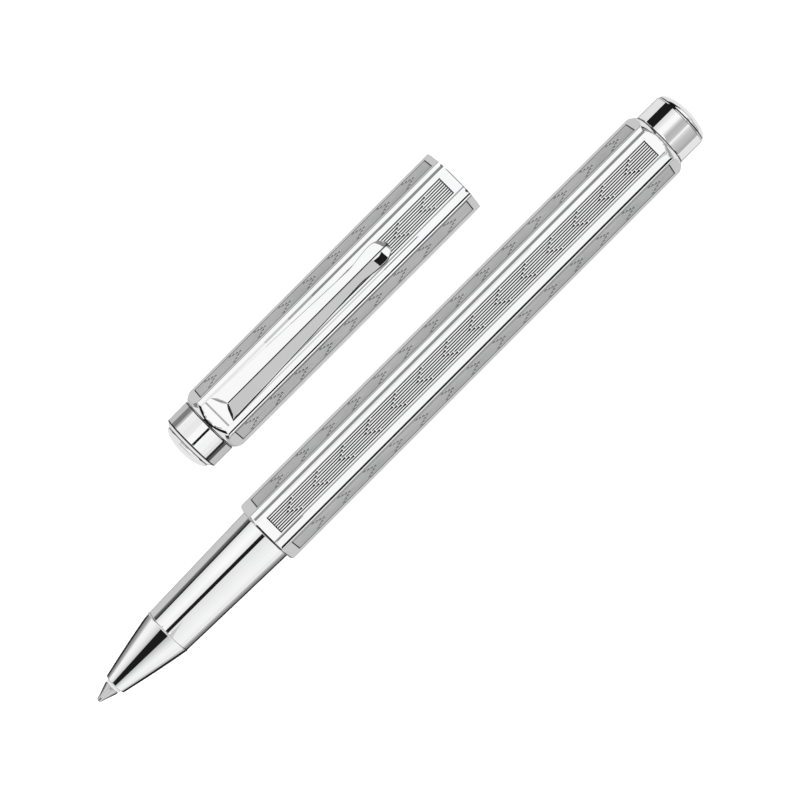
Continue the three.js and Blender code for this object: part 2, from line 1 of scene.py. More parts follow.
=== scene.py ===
# Rollerball pen with a six-sided engraved barrel and its cap: the visual model around the CAD frame.
# Lengths are in millimetres along each axis, and become metres where a mesh is made.
import bpy
from math import acos, asin, atan2, cos, hypot, pi, radians, sin, sqrt, tan
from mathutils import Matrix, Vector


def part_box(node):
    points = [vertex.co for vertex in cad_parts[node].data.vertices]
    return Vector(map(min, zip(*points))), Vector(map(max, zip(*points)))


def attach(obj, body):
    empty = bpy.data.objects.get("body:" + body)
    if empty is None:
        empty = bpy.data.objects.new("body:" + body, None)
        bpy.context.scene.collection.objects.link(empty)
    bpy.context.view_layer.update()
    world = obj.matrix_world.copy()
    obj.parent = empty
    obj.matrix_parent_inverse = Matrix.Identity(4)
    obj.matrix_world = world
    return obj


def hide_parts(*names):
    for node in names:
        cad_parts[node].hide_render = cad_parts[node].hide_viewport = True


MM = 0.001
FACE_GAP = 0.02  # between two faces that meet
SAME_PLACE = 0.002  # places closer than this are the same
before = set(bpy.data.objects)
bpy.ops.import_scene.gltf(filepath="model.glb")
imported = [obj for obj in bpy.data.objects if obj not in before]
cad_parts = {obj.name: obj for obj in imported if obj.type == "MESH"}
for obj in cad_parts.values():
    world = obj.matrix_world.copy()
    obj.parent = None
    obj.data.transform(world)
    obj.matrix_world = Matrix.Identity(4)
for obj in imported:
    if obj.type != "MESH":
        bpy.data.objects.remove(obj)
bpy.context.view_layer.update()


def node_box(node):
    """Lowest and highest corner of a CAD node, in millimetres."""
    low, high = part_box(node)
    return [v / MM for v in low], [v / MM for v in high]


# ---- places and sizes read from the CAD frame
BARREL_LOW, BARREL_HIGH = node_box("barrel_shell")
CAP_LOW, CAP_HIGH = node_box("cap_shell")
AXIS_Z = (BARREL_LOW[2] + BARREL_HIGH[2]) / 2
CAP_Y = (CAP_LOW[1] + CAP_HIGH[1]) / 2
FLAT = AXIS_Z - BARREL_LOW[2]
CORNER_REACH = (BARREL_HIGH[1] - BARREL_LOW[1]) / 2


def start_x(node):
    return node_box(node)[0][0]


def end_x(node):
    return node_box(node)[1][0]


def radius(node):
    low, high = node_box(node)
    return (high[2] - low[2]) / 2


def share(t):
    """The number t, kept between 0 and 1."""
    return max(0.0, min(1.0, t))


def mix(a, b, t):
    return a + (b - a) * t


def placed(table, x, r=0.0):
    """Outline points from a table of (distance behind x, height over r), or with a fillet as well."""
    return [(x + dx, r + dr, *fillet) for dx, dr, *fillet in table]


PEN_AXIS = (0.0, AXIS_Z)
CAP_AXIS = (CAP_Y, AXIS_Z)
BALL_X = start_x("writing_ball")
TIP_X = start_x("writing_tip")
NOSE_X = start_x("nose_cone")
GRIP_X = start_x("grip_sleeve")
BARREL_X = BARREL_LOW[0]
KNOB_X = BARREL_HIGH[0]
KNOB_END_X = end_x("rear_knob")
PEN_END_X = end_x("rear_dome")
CAP_X = start_x("cap_dome")
CAP_KNOB_X = start_x("cap_knob")
CAP_SHELL_X = CAP_LOW[0]
MOUTH_X = CAP_HIGH[0]

# ---- six-sided section and its engraving
CORNER_RADIUS = (FLAT - CORNER_REACH * cos(pi / 6)) / (1 - cos(pi / 6))
CORNER_CENTRE = CORNER_REACH - CORNER_RADIUS
HALF_FLAT = (FLAT - CORNER_RADIUS) * tan(pi / 6)
TURN = pi / 3  # from one facet to the next
CORNER_STEPS = 9
FACETS = 6
GROOVE_ROWS = 4  # on each side of the middle one
GROOVE_PITCH = 0.357
GROOVE_HALF = 0.098
GROOVE_DEPTH = 0.09
CHEVRON_ROWS = 3
CHEVRON_STEP = 0.56  # how far each row's mark stands behind the last
MARK_HALF = 0.172
MARK_DEPTH = 0.2
MARK_RISE = 0.45
MARK_FALL = 0.1
MARK_REST = 0.13  # plain metal behind a mark
MARK_RETURN = 0.2
END_LINE_HALF = 0.09
END_LINE_DEPTH = 0.13
PANEL_MARGIN = 0.03  # from the outermost groove's bank to the panel's edge
PANEL_HALF = GROOVE_ROWS * GROOVE_PITCH + GROOVE_HALF + PANEL_MARGIN
PLAIN, GROOVE_FLOOR, SIDE_FLOOR, DARK_EDGE = range(4)  # material slots of an engraved shell: plain metal, painted shade in grooves and marks, a lighter painted shade in the side facets' grooves, painted dark reflection on an edge


# ---- meshes
SHARP = 32  # degrees between two faces over which their edge stays sharp


def new_object(name, data):
    obj = bpy.data.objects.new(name, data)
    bpy.context.scene.collection.objects.link(obj)
    return obj


def mesh_object(name, points, faces, slots=None, sharp=SHARP):
    """A mesh from points in millimetres, smooth except where faces meet at more than `sharp` degrees."""
    mesh = bpy.data.meshes.new(name)
    used = sorted({v for face in faces for v in face})
    place = {v: k for k, v in enumerate(used)}
    points = [[value * MM for value in points[v]] for v in used]
    mesh.from_pydata(points, [], [[place[v] for v in face] for face in faces])
    if slots:
        mesh.polygons.foreach_set("material_index", slots)
    mesh.validate()
    mesh.shade_smooth()
    mesh.set_sharp_from_angle(angle=radians(sharp))
    return new_object(name, mesh)


def quads(a, b, count):
    """Faces between the two rings of points that start at a and at b."""
    return [(a + k, a + (k + 1) % count, b + (k + 1) % count, b + k) for k in range(count)]


FILLET_SHARE = 0.49  # of a side, the most that a fillet takes
NEARLY_STRAIGHT = 0.01


def rounded(outline, steps=5):
    """An outline of (x, r) points, or (x, r, fillet) at a corner that is rounded."""
    out = []
    last = len(outline) - 1
    for k, corner in enumerate(outline):
        x, r = corner[:2]
        fillet = corner[2] if len(corner) > 2 else 0
        if not fillet or k in (0, last):
            out.append((x, r))
            continue
        before, after = outline[k - 1], outline[k + 1]
        u = (before[0] - x, before[1] - r)
        v = (after[0] - x, after[1] - r)
        lu, lv = hypot(*u), hypot(*v)
        u, v = (u[0] / lu, u[1] / lu), (v[0] / lv, v[1] / lv)
        half = acos(max(-1, min(1, u[0] * v[0] + u[1] * v[1]))) / 2
        if half > pi / 2 - NEARLY_STRAIGHT:
            short = min(fillet, FILLET_SHARE * lu, FILLET_SHARE * lv)
            out += [(x + v[0] * short * (2 * i / steps - 1), r + v[1] * short * (2 * i / steps - 1))
                    for i in range(steps + 1)]
            continue
        reach = min(fillet / tan(half), FILLET_SHARE * lu, FILLET_SHARE * lv)
        size = reach * tan(half)
        middle = (u[0] + v[0], u[1] + v[1])
        lm = hypot(*middle)
        centre = (x + middle[0] / lm * size / sin(half), r + middle[1] / lm * size / sin(half))
        a0 = atan2(r + u[1] * reach - centre[1], x + u[0] * reach - centre[0])
        a1 = atan2(r + v[1] * reach - centre[1], x + v[0] * reach - centre[0])
        turn = (a1 - a0 + pi) % (2 * pi) - pi
        for i in range(steps + 1):
            a = a0 + turn * i / steps
            out.append((centre[0] + size * cos(a), centre[1] + size * sin(a)))
    return out


def closed(outline, steps=5):
    """A rounded outline whose end joins its start."""
    return rounded([*outline, outline[0]], steps)[:-1]


HOLD = 0.03
LONG_SIDE = 8 * HOLD


def held(outline, closed):
    """The outline with an extra point close to both ends of each long side, which keeps that side's
    shading straight up to its fillets."""
    out = []
    for k, (x, r) in enumerate(outline):
        out.append((x, r))
        if k == len(outline) - 1 and not closed:
            break
        next_x, next_r = outline[(k + 1) % len(outline)]
        length = hypot(next_x - x, next_r - r)
        if length > LONG_SIDE:
            for t in (HOLD / length, 1 - HOLD / length):
                out.append((mix(x, next_x, t), mix(r, next_r, t)))
    return out


ON_AXIS = 1e-6


def revolve(name, outline, axis, sides=96, sharp=SHARP, joints=()):
    """Turns an outline of (x, r) points about the line through `axis`. It runs from axis to axis,
    or is a ring that closes on itself. Faces outside `r` between x0 and x1 of a (x0, x1, r) in the last
    argument get the second material, a painted shade and dark reflection on rims and where parts meet."""
    ring = outline[0][1] > ON_AXIS
    outline = held(outline, ring)
    points, rows = [], []
    for x, r in outline:
        if r < ON_AXIS:
            points.append((x, axis[0], axis[1]))
            rows.append([len(points) - 1] * sides)
            continue
        rows.append(list(range(len(points), len(points) + sides)))
        for k in range(sides):
            a = 2 * pi * k / sides
            points.append((x, axis[0] + r * cos(a), axis[1] + r * sin(a)))
    ends = list(range(len(outline)))
    pairs = list(zip(ends, ends[1:])) + ([(ends[-1], ends[0])] if ring else [])
    faces, slots = [], []
    for first, second in pairs:
        low, high = rows[first], rows[second]
        x = (outline[first][0] + outline[second][0]) / 2
        r = (outline[first][1] + outline[second][1]) / 2
        slot = int(any(x0 < x < x1 and r > least for x0, x1, least in joints))
        for k in range(sides):
            n = (k + 1) % sides
            face = [low[k], low[n], high[n], high[k]]
            face = [v for i, v in enumerate(face) if v not in face[:i]]
            faces.append(face)
            slots.append(slot)
    return faces_out(mesh_object(name, points, faces, slots, sharp=sharp))


def faces_out(obj):
    """Turns all faces over if the closed mesh's volume is negative."""
    mesh = obj.data
    volume = 0.0
    for polygon in mesh.polygons:
        corners = [mesh.vertices[v].co for v in polygon.vertices]
        for k in range(1, len(corners) - 1):
            volume += corners[0].dot(corners[k].cross(corners[k + 1]))
    if volume < 0:
        mesh.flip_normals()
    return obj


ARC_STEPS = 24


def arc(x0, r0, x1, r1):
    """Points of a quarter ellipse that leaves (x0, r0) along X and meets (x1, r1) square to X."""
    out = []
    for k in range(ARC_STEPS + 1):
        a = pi / 2 * k / ARC_STEPS
        out.append((mix(x0, x1, sin(a)), mix(r1, r0, cos(a))))
    return out


# ---- engraved six-sided shells
def snap(x):
    """A place rounded to a tenth of a micrometre, so that the same place is found again."""
    return round(x, 4)


def row_marks(apexes, direction, row):
    """Where the marks of one groove row stand: each (start, peak, end, rest end, return end)."""
    away = abs(row)
    out = []
    for apex in apexes:
        peak = apex + direction * away * CHEVRON_STEP
        out.append([
            peak - MARK_RISE, peak, peak + MARK_FALL,
            peak + MARK_FALL + MARK_REST, peak + MARK_FALL + MARK_REST + MARK_RETURN,
        ])
    return out


def groove(x, row, marks, panel):
    """(depth, half width) of a groove row at x."""
    if not panel[0] <= x <= panel[1]:
        return 0.0, GROOVE_HALF
    if abs(row) > CHEVRON_ROWS:
        return GROOVE_DEPTH, GROOVE_HALF
    for start, peak, fall, rest, back in marks:
        if start < x < back:
            if x <= peak:
                t = (x - start) / (peak - start)
                return mix(GROOVE_DEPTH, MARK_DEPTH, t), mix(GROOVE_HALF, MARK_HALF, t)
            if x < fall:
                t = (fall - x) / (fall - peak)
                return t * MARK_DEPTH, mix(GROOVE_HALF, MARK_HALF, t)
            if x <= rest:
                return 0.0, GROOVE_HALF
            t = (x - rest) / (back - rest)
            return t * GROOVE_DEPTH, GROOVE_HALF
    return GROOVE_DEPTH, GROOVE_HALF


DEEP = 1.15  # shares of a groove's depth: faces deeper than this are marks,
SHALLOW = 0.3  # and faces deeper than this are grooves
CLOSEST_STATIONS = 0.004
SHELL_SHARP = 24


def engraved_shell(name, axis, envelope, end_stations, inner, apexes, panels, slot=None,
                   inset=lambda x: 0.0, dark_edge=None):
    """A six-sided tube. `envelope(x)` is the largest radius at x, which rounds the ends. `inner` is the
    bore's outline. `apexes(facet)` gives the chevrons and their direction, and `panels(facet)` where the
    engraving starts and ends. `slot` is the (x0, x1) of an opening through the top facet. `inset(x)` is
    how far the section is drawn in. `dark_edge` is the (x0, x1) where the top facet and its corner
    towards -Y are painted dark: a painted dark reflection on the rounded edge."""
    marks = {}
    stations = set(end_stations)
    for facet in range(FACETS):
        places, direction = apexes(facet)
        first, last = panels(facet)
        for line in (first, last):
            stations.update((line - END_LINE_HALF, line, line + END_LINE_HALF))
        for row in range(-CHEVRON_ROWS, CHEVRON_ROWS + 1):
            marks[facet, row] = row_marks(places, direction, row)
            for mark in marks[facet, row]:
                stations.update(x for x in mark if first < x < last)
    if slot:
        stations |= set(slot)
    stations = sorted({snap(x) for x in stations})
    stations = [x for k, x in enumerate(stations) if k == 0 or x - stations[k - 1] > CLOSEST_STATIONS]

    # columns around the section: (facet, role, value)
    columns = []
    for facet in range(FACETS):
        columns += [(facet, "edge", -HALF_FLAT), (facet, "edge", -PANEL_HALF)]
        for row in range(-GROOVE_ROWS, GROOVE_ROWS + 1):
            columns += [(facet, "bank", (row, -1)), (facet, "floor", row), (facet, "bank", (row, 1))]
        columns += [(facet, "edge", PANEL_HALF), (facet, "edge", HALF_FLAT)]
        columns += [(facet, "corner", k / CORNER_STEPS) for k in range(1, CORNER_STEPS)]

    def column_point(facet, role, value, x):
        """(y, z) about the axis, and the depth of engraving there."""
        normal = pi / 2 + facet * TURN
        depth = 0.0
        if role == "corner":
            a = normal + value * TURN
            middle = normal + TURN / 2
            rounding = CORNER_RADIUS - inset(x)
            return (CORNER_CENTRE * cos(middle) + rounding * cos(a),
                    CORNER_CENTRE * sin(middle) + rounding * sin(a), depth)
        if role == "edge":
            across = value
        else:
            row, side = value if role == "bank" else (value, 0)
            first, last = panels(facet)
            depth, half = groove(x, row, marks.get((facet, row), ()), (first, last))
            across = row * GROOVE_PITCH + side * half
            near, far = first + END_LINE_HALF - SAME_PLACE, last - END_LINE_HALF + SAME_PLACE
            if min(abs(x - first), abs(x - last)) < SAME_PLACE:
                depth = END_LINE_DEPTH
            elif side or not near <= x <= far:
                depth = 0.0
        high = FLAT - depth - inset(x)
        # `across` grows anticlockwise seen from +X, as the columns do
        return (high * cos(normal) - across * sin(normal), high * sin(normal) + across * cos(normal), depth)

    count = len(columns)
    points, depths = [], []
    for x in stations:
        limit = envelope(x)
        for facet, role, value in columns:
            y, z, depth = column_point(facet, role, value, x)
            r = hypot(y, z)
            if r > limit:
                y, z = y * limit / r, z * limit / r
            points.append((x, axis[0] + y, axis[1] + z))
            depths.append(depth)
    faces, slots = [], []

    def in_slot(x0, x1, column):
        facet, role = columns[column][:2]
        top = facet == 0 and role != "corner" and columns[(column + 1) % count][1] != "corner"
        return slot and top and x0 >= slot[0] - SAME_PLACE / 2 and x1 <= slot[1] + SAME_PLACE / 2

    for s in range(len(stations) - 1):
        for c in range(count):
            n = (c + 1) % count
            if in_slot(stations[s], stations[s + 1], c):
                continue
            face = (s * count + c, (s + 1) * count + c, (s + 1) * count + n, s * count + n)
            faces.append(face)
            deepest = max(depths[v] for v in face)
            facet, role, value = columns[c]
            # painted dark reflection on the rounded edge; painted shade in marks and grooves, lighter on the
            # side facets
            if dark_edge and facet == 0 and dark_edge[0] <= stations[s] < dark_edge[1]:
                slots.append(DARK_EDGE)
            # painted shade: marks and the top and bottom facets' grooves get the dark material, the side
            # facets' grooves the lighter one
            elif deepest > DEEP * GROOVE_DEPTH:
                slots.append(GROOVE_FLOOR)
            elif deepest > SHALLOW * GROOVE_DEPTH:
                row = value if role == "floor" else value[0]
                slots.append(SIDE_FLOOR if facet % 3 and abs(row) < GROOVE_ROWS else GROOVE_FLOOR)
            else:
                slots.append(PLAIN)

    # the bore, with its columns at the same angles as the outside's
    section = [column_point(*column, stations[0]) for column in columns]
    angles = [atan2(z, y) for y, z, depth in section]
    base = len(points)
    for x, r in inner:
        points += [(x, axis[0] + r * cos(a), axis[1] + r * sin(a)) for a in angles]
    for s in range(len(inner) - 1):
        for c, face in enumerate(quads(base + s * count, base + (s + 1) * count, count)):
            if slot and inner[s][0] < inner[s + 1][0] and in_slot(inner[s][0], inner[s + 1][0], c):
                continue
            faces.append(face)
            slots.append(PLAIN)
    last_outer = (len(stations) - 1) * count
    last_inner = base + (len(inner) - 1) * count
    faces += quads(0, base, count) + quads(last_inner, last_outer, count)
    slots += [PLAIN] * 2 * count
    if slot:
        so = [stations.index(snap(x)) for x in slot]
        si = [next(k for k, point in enumerate(inner) if abs(point[0] - at) < SAME_PLACE) for at in slot]
        top = [c for c in range(count) if in_slot(slot[0], slot[1], c)]
        for c in top:
            n = (c + 1) % count
            a, b = so[0] * count, base + si[0] * count
            faces.append((a + n, a + c, b + c, b + n))
            a, b = so[1] * count, base + si[1] * count
            faces.append((a + c, a + n, b + n, b + c))
            slots += [PLAIN, PLAIN]
        for c, turned in ((top[0], False), ((top[-1] + 1) % count, True)):
            side = [at * count + c for at in range(so[0], so[1] + 1)]
            side += [base + si[1] * count + c, base + si[0] * count + c]
            faces.append(tuple(reversed(side)) if turned else tuple(side))
            slots.append(PLAIN)
    return mesh_object(name, points, faces, slots, sharp=SHELL_SHARP)


CROWDING = 1.6


def edge_stations(start, end, length, steps=10):
    """Stations that crowd towards `start`, over `length` towards `end`."""
    direction = 1 if end > start else -1
    return [start + direction * length * (k / steps) ** CROWDING for k in range(steps + 1)]


def quarter_round(t):
    """The height of a quarter circle, from 0 to 1, at a share t of its width."""
    return sqrt(max(0.0, 1 - (1 - t) ** 2))


SHOULDER_RADIUS = CORNER_REACH - 0.92
SHOULDER_FULLNESS = 0.9
BARREL_EDGE = 0.5
BARREL_EDGE_DROP = 0.16  # how far the flats' front edge is rounded in
FRONT_FILLET = 0.3
REAR_FILLET = 0.35
REAR_FILLET_DEPTH = 0.5 * REAR_FILLET
BARREL_SHOULDER = 1.35
NO_LIMIT = CORNER_REACH + 1


def shoulder(t):
    """The turned shoulder's radius at a share t of its length from the end."""
    return mix(SHOULDER_RADIUS, CORNER_REACH, sin(max(t, 0.0) * pi / 2) ** SHOULDER_FULLNESS)


def barrel_envelope(x):
    low = FLAT - BARREL_EDGE_DROP
    if x < BARREL_X + BARREL_EDGE:
        return mix(low, CORNER_REACH, quarter_round((x - BARREL_X) / BARREL_EDGE))
    if x > KNOB_X - BARREL_SHOULDER:
        return shoulder((KNOB_X - x) / BARREL_SHOULDER)
    return NO_LIMIT


def barrel_inset(x):
    if x < BARREL_X + FRONT_FILLET:
        return FRONT_FILLET * (1 - quarter_round((x - BARREL_X) / FRONT_FILLET))
    if x > KNOB_X - REAR_FILLET:
        return REAR_FILLET_DEPTH * (1 - quarter_round((KNOB_X - x) / REAR_FILLET))
    return 0.0


PANEL_INSET_FRONT = 2.05
PANEL_INSET_REAR = 1.95
TOP_PANEL_INSET_REAR = 2.25
BARREL_CHEVRONS = 14
CHEVRON_PITCH = 5.395
FIRST_CHEVRON = 5.0  # behind the barrel's front edge
REARWARD_SHIFT = 3.0  # how much further back the marks that point rearward start


def barrel_apexes(facet):
    """The top and bottom facets' chevrons point to the tip, and the others' to the rear."""
    first = BARREL_X + FIRST_CHEVRON
    direction = 1 if facet % 3 == 0 else -1
    shift = 0 if direction > 0 else REARWARD_SHIFT
    return [first + shift + k * CHEVRON_PITCH for k in range(BARREL_CHEVRONS)], direction


def barrel_panels(facet):
    rear = TOP_PANEL_INSET_REAR if facet % 3 == 0 else PANEL_INSET_REAR
    return snap(BARREL_X + PANEL_INSET_FRONT), snap(KNOB_X - rear)


BORE_CHAMFER = 0.12
KNOB_WALL = 0.53  # from the barrel's bore to the knob's side


def make_barrel():
    seat = radius("barrel_thread_bush") + FACE_GAP
    bore = radius("rear_knob") - KNOB_WALL
    step = end_x("barrel_thread_bush") + FACE_GAP
    inner = [(BARREL_X, seat + BORE_CHAMFER), (BARREL_X + BORE_CHAMFER, seat), (step, seat), (step, bore),
             (KNOB_X, bore)]
    ends = (edge_stations(BARREL_X, KNOB_X, BARREL_EDGE) + edge_stations(BARREL_X, KNOB_X, FRONT_FILLET, 5)
            + edge_stations(KNOB_X, BARREL_X, BARREL_SHOULDER, 12))
    return engraved_shell("barrel_engraved", PEN_AXIS, barrel_envelope, ends, inner, barrel_apexes,
                          barrel_panels, None, barrel_inset, (BARREL_X, BARREL_X + 0.9 * FRONT_FILLET))


CAP_SHOULDER = 1.6
MOUTH_EDGE = 0.12
MOUTH_EDGE_DROP = 0.06
MOUTH_CHAMFER = 0.15
CAP_END_WALL = 1.3
CAP_SPIGOT = 2.55
CAP_PANEL_START = CAP_X + 8.0
CAP_TOP_PANEL_START = CAP_X + 11.6
CAP_MOUTH_INSET = 1.2
CAP_TOP_MOUTH_INSET = 1.8
CAP_SIDE_CHEVRONS = 9
CAP_SIDE_PITCH = 5.16
CAP_FIRST_SIDE_CHEVRON = CAP_X + 11.9
CAP_TOP_CHEVRONS = 7
CAP_LAST_TOP_CHEVRON = CAP_X + 50.4
SLOT = (CAP_X + 8.1, CAP_X + 10.7)


def cap_envelope(x):
    if x < CAP_SHELL_X + CAP_SHOULDER:
        return shoulder((x - CAP_SHELL_X) / CAP_SHOULDER)
    if x > MOUTH_X - MOUTH_EDGE:
        low = FLAT - MOUTH_EDGE_DROP
        return mix(low, CORNER_REACH, quarter_round((MOUTH_X - x) / MOUTH_EDGE))
    return NO_LIMIT


def cap_panels(facet):
    if facet % 3 == 0:
        return snap(CAP_TOP_PANEL_START), snap(MOUTH_X - CAP_TOP_MOUTH_INSET)
    return snap(CAP_PANEL_START), snap(MOUTH_X - CAP_MOUTH_INSET)


def cap_apexes(facet):
    if facet % 3 == 0:
        return [CAP_LAST_TOP_CHEVRON - k * CHEVRON_PITCH for k in range(CAP_TOP_CHEVRONS)][::-1], 1
    return [CAP_FIRST_SIDE_CHEVRON + k * CAP_SIDE_PITCH for k in range(CAP_SIDE_CHEVRONS)], -1


def make_cap_shell():
    bore = radius("cap_liner") + FACE_GAP
    hole = CAP_SPIGOT + FACE_GAP
    wall = CAP_SHELL_X + CAP_END_WALL
    inner = [(CAP_SHELL_X, hole), (wall, hole), (wall, bore), (SLOT[0], bore), (SLOT[1], bore),
             (MOUTH_X - MOUTH_CHAMFER, bore), (MOUTH_X, bore + MOUTH_CHAMFER)]
    ends = (edge_stations(CAP_SHELL_X, MOUTH_X, CAP_SHOULDER, 12)
            + edge_stations(MOUTH_X, CAP_SHELL_X, MOUTH_EDGE, 5))
    return engraved_shell("cap_engraved", CAP_AXIS, cap_envelope, ends, inner, cap_apexes, cap_panels, SLOT,
                          dark_edge=(MOUTH_X - MOUTH_EDGE - SAME_PLACE, MOUTH_X))


# ---- turned pieces of the pen
FINE_SIDES = 128
SMALL_SIDES = 64
STUD_HOLE = 1.47
STUD_HOLE_DEPTH = 2.52
SPIGOT_WALL = 0.82
KNOB_FRONT = [(0.02, -0.12), (0.1, 0, 0.06)]
KNOB_RIM = [(-0.38, 0), (-0.3, -0.02), (-0.16, -0.09), (-0.1, -0.2), (0, -0.22)]
DOME_STUD = 1.45
DOME_EDGE = 0.04


def make_rear_knob():
    r = radius("rear_knob")
    bore = r - KNOB_WALL
    front = KNOB_X - FACE_GAP
    spigot = start_x("rear_knob")
    stud_x = KNOB_END_X - STUD_HOLE_DEPTH
    outline = [
        (front, 0), (front, bore - SPIGOT_WALL), (spigot, bore - SPIGOT_WALL),
        (spigot, bore - FACE_GAP), (KNOB_X + FACE_GAP, bore - FACE_GAP),
    ]
    outline += placed(KNOB_FRONT, KNOB_X, r) + placed(KNOB_RIM, KNOB_END_X, r)
    outline += [(KNOB_END_X, STUD_HOLE), (stud_x, STUD_HOLE), (stud_x, 0)]
    # painted shade and dark reflection: dark rings at the knob's front face and on its rear rim
    joints = [(KNOB_X, KNOB_X + 0.1, r - 0.3), (KNOB_END_X - 0.36, KNOB_END_X - 0.3, r - 0.1),
              (KNOB_END_X - 0.14, KNOB_END_X + 0.01, r - 0.3)]
    return revolve("rear_knob_turned", rounded(outline), PEN_AXIS, joints=joints)


def make_rear_dome():
    r = radius("rear_knob") - 0.2
    x0 = KNOB_END_X + FACE_GAP
    stud_x = KNOB_END_X - STUD_HOLE_DEPTH + FACE_GAP
    outline = [(stud_x, 0), (stud_x, DOME_STUD), (x0, DOME_STUD), (x0, r - DOME_EDGE)]
    outline += arc(x0 + DOME_EDGE, r, PEN_END_X, 0)
    outline[-1] = (PEN_END_X, 0)
    return revolve("rear_dome_turned", outline, PEN_AXIS)


CORE_RADIUS = 3.55
CORE_BORE = 3.15
GRIP_BORE = 3.57
GRIP_TAPER = 0.55  # how much smaller the grip is at its front
NOSE_HOLE = 1.4
NOSE_FRONT = 1.77
NOSE_BELLY = 0.08  # how far the cone's side swells out
NOSE_STEPS = 22
REFILL_ROOM = 2.25


def make_grip():
    end = end_x("grip_sleeve")
    rear = radius("grip_sleeve")
    outline = [
        (GRIP_X, GRIP_BORE), (GRIP_X, rear - GRIP_TAPER, 0.1), (end, rear, 0.08), (end, GRIP_BORE),
    ]
    return revolve("grip_turned", closed(outline), PEN_AXIS, FINE_SIDES)


def make_nose():
    rim = radius("nose_cone")
    end = GRIP_X - FACE_GAP
    spigot = end_x("nose_cone")
    outer = []
    for k in range(1, NOSE_STEPS):
        t = k / NOSE_STEPS
        outer.append((mix(NOSE_X, end, t), mix(NOSE_FRONT, rim, t) + NOSE_BELLY * sin(pi * t)))
    outline = [(NOSE_X, NOSE_HOLE), (NOSE_X, NOSE_FRONT, 0.12)] + outer + [
        (end, rim, 0.12), (end, CORE_RADIUS), (spigot, CORE_RADIUS), (spigot, CORE_BORE),
        (end - 1.6, CORE_BORE), (end - 2.5, REFILL_ROOM), (NOSE_X + 4.9, REFILL_ROOM),
        (NOSE_X + 4, NOSE_HOLE),
    ]
    return revolve("nose_turned", closed(outline), PEN_AXIS, FINE_SIDES)


BALL_RADIUS = 0.35
BALL_STEPS = 16
SOCKET_RADIUS = 0.37
SOCKET_STEPS = 12
SOCKET_LIP = 0.07
INK_HOLE = 0.22
TIP_CONE = [(0.55, 0.52, 0.3), (2.45, 1.2, 0.12), (2.8, 1.2, 0.05), (2.8, 0.75)]
TIP_SHANK = 0.75
HOLDER_SIDE = [
    (0, 0.77), (0, 1.3, 0.15), (4.98, 1.3, 0.2), (5.83, 2.15, 0.2), (9.48, 2.15, 0.2), (10.38, 3.05, 0.1),
    (12.96, 3.05), (12.96, 2.78),
]
HOLDER_HOLE = [(3, 0.52), (3, 0.77)]


def make_tip():
    ball = BALL_X + BALL_RADIUS
    lip = acos((ball - TIP_X) / SOCKET_RADIUS)
    seat = pi - asin(INK_HOLE / SOCKET_RADIUS)
    inside = []
    for k in range(SOCKET_STEPS + 1):
        a = seat + (lip - seat) * k / SOCKET_STEPS
        inside.append((ball - SOCKET_RADIUS * cos(a), SOCKET_RADIUS * sin(a)))
    end = end_x("writing_tip")
    outline = inside + [(TIP_X, SOCKET_RADIUS * sin(lip) + SOCKET_LIP, 0.03)] + placed(TIP_CONE, TIP_X)
    outline += [(end, TIP_SHANK), (end, INK_HOLE)]
    return revolve("writing_tip_turned", closed(outline), PEN_AXIS, SMALL_SIDES)


def make_ball():
    outline = []
    for k in range(BALL_STEPS + 1):
        a = pi * k / BALL_STEPS
        r = 0 if k in (0, BALL_STEPS) else BALL_RADIUS * sin(a)
        outline.append((BALL_X + BALL_RADIUS - BALL_RADIUS * cos(a), r))
    return revolve("ball_ground", outline, PEN_AXIS, sides=48, sharp=60)


def make_holder():
    x0, end = start_x("refill_holder"), end_x("refill_holder")
    outline = placed(HOLDER_SIDE, x0) + [(end, HOLDER_SIDE[-1][1]), (end, HOLDER_HOLE[0][1])]
    outline += placed(HOLDER_HOLE, x0)
    return revolve("refill_holder_moulded", closed(outline), PEN_AXIS, SMALL_SIDES)


THREAD_START = 0.35  # behind the barrel's front
THREAD_END = 0.3  # before the core's end
THREAD_ROOT = 3.58
THREAD_PITCH = 1.0
THREAD_FLOOR = 0.12  # share of a turn that is flat at the root
THREAD_FULLNESS = 1.15  # above 1 the crest is flat
THREAD_SIDES = 72
THREAD_STEPS = 12  # rows in a turn


def make_core():
    """The section's threaded core: a tube with a helical thread on its rear end."""
    start, end = start_x("section_core"), end_x("section_core")
    thread_x = BARREL_X + THREAD_START
    crest = radius("section_core")
    sides = THREAD_SIDES
    tube = [CORE_RADIUS] * sides
    bore = [CORE_BORE] * sides
    rows = [(start, bore), (start, tube), (thread_x - 0.1, tube)]
    length = end - THREAD_END - thread_x
    count = int(length / THREAD_PITCH * THREAD_STEPS)
    for s in range(count + 1):
        x = thread_x + length * s / count
        fade = min(1, s / THREAD_STEPS, (count - s) / THREAD_STEPS)
        ring = []
        for k in range(sides):
            phase = ((x - thread_x) / THREAD_PITCH - k / sides) % 1
            height = max(0.0, 1 - abs(phase - 0.5) * 2 - THREAD_FLOOR) / (1 - THREAD_FLOOR)
            ring.append(THREAD_ROOT + (crest - THREAD_ROOT) * min(1, height * THREAD_FULLNESS) * fade)
        rows.append((x, ring))
    rows += [(end, [THREAD_ROOT - 0.15] * sides), (end, bore)]
    points, faces = [], []
    for x, ring in rows:
        for k, r in enumerate(ring):
            a = 2 * pi * k / sides
            points.append((x, r * cos(a), AXIS_Z + r * sin(a)))
    for s in range(len(rows)):
        faces += quads(s * sides, (s + 1) % len(rows) * sides, sides)
    return faces_out(mesh_object("section_core_threaded", points, faces, sharp=50))


# ---- turned pieces of the cap
CAP_KNOB_CONE = [(0, -0.88), (0.06, -0.75), (0.47, -0.12), (0.56, -0.01), (0.72, 0)]
CAP_KNOB_EDGE = [(-0.12, 0, 0.05), (0, -0.12)]
SCREW_HOLE = 1.25
SCREW_HOLE_LENGTH = 4.02
LINER_WALL = 0.35
LINER_FLOOR = 0.6


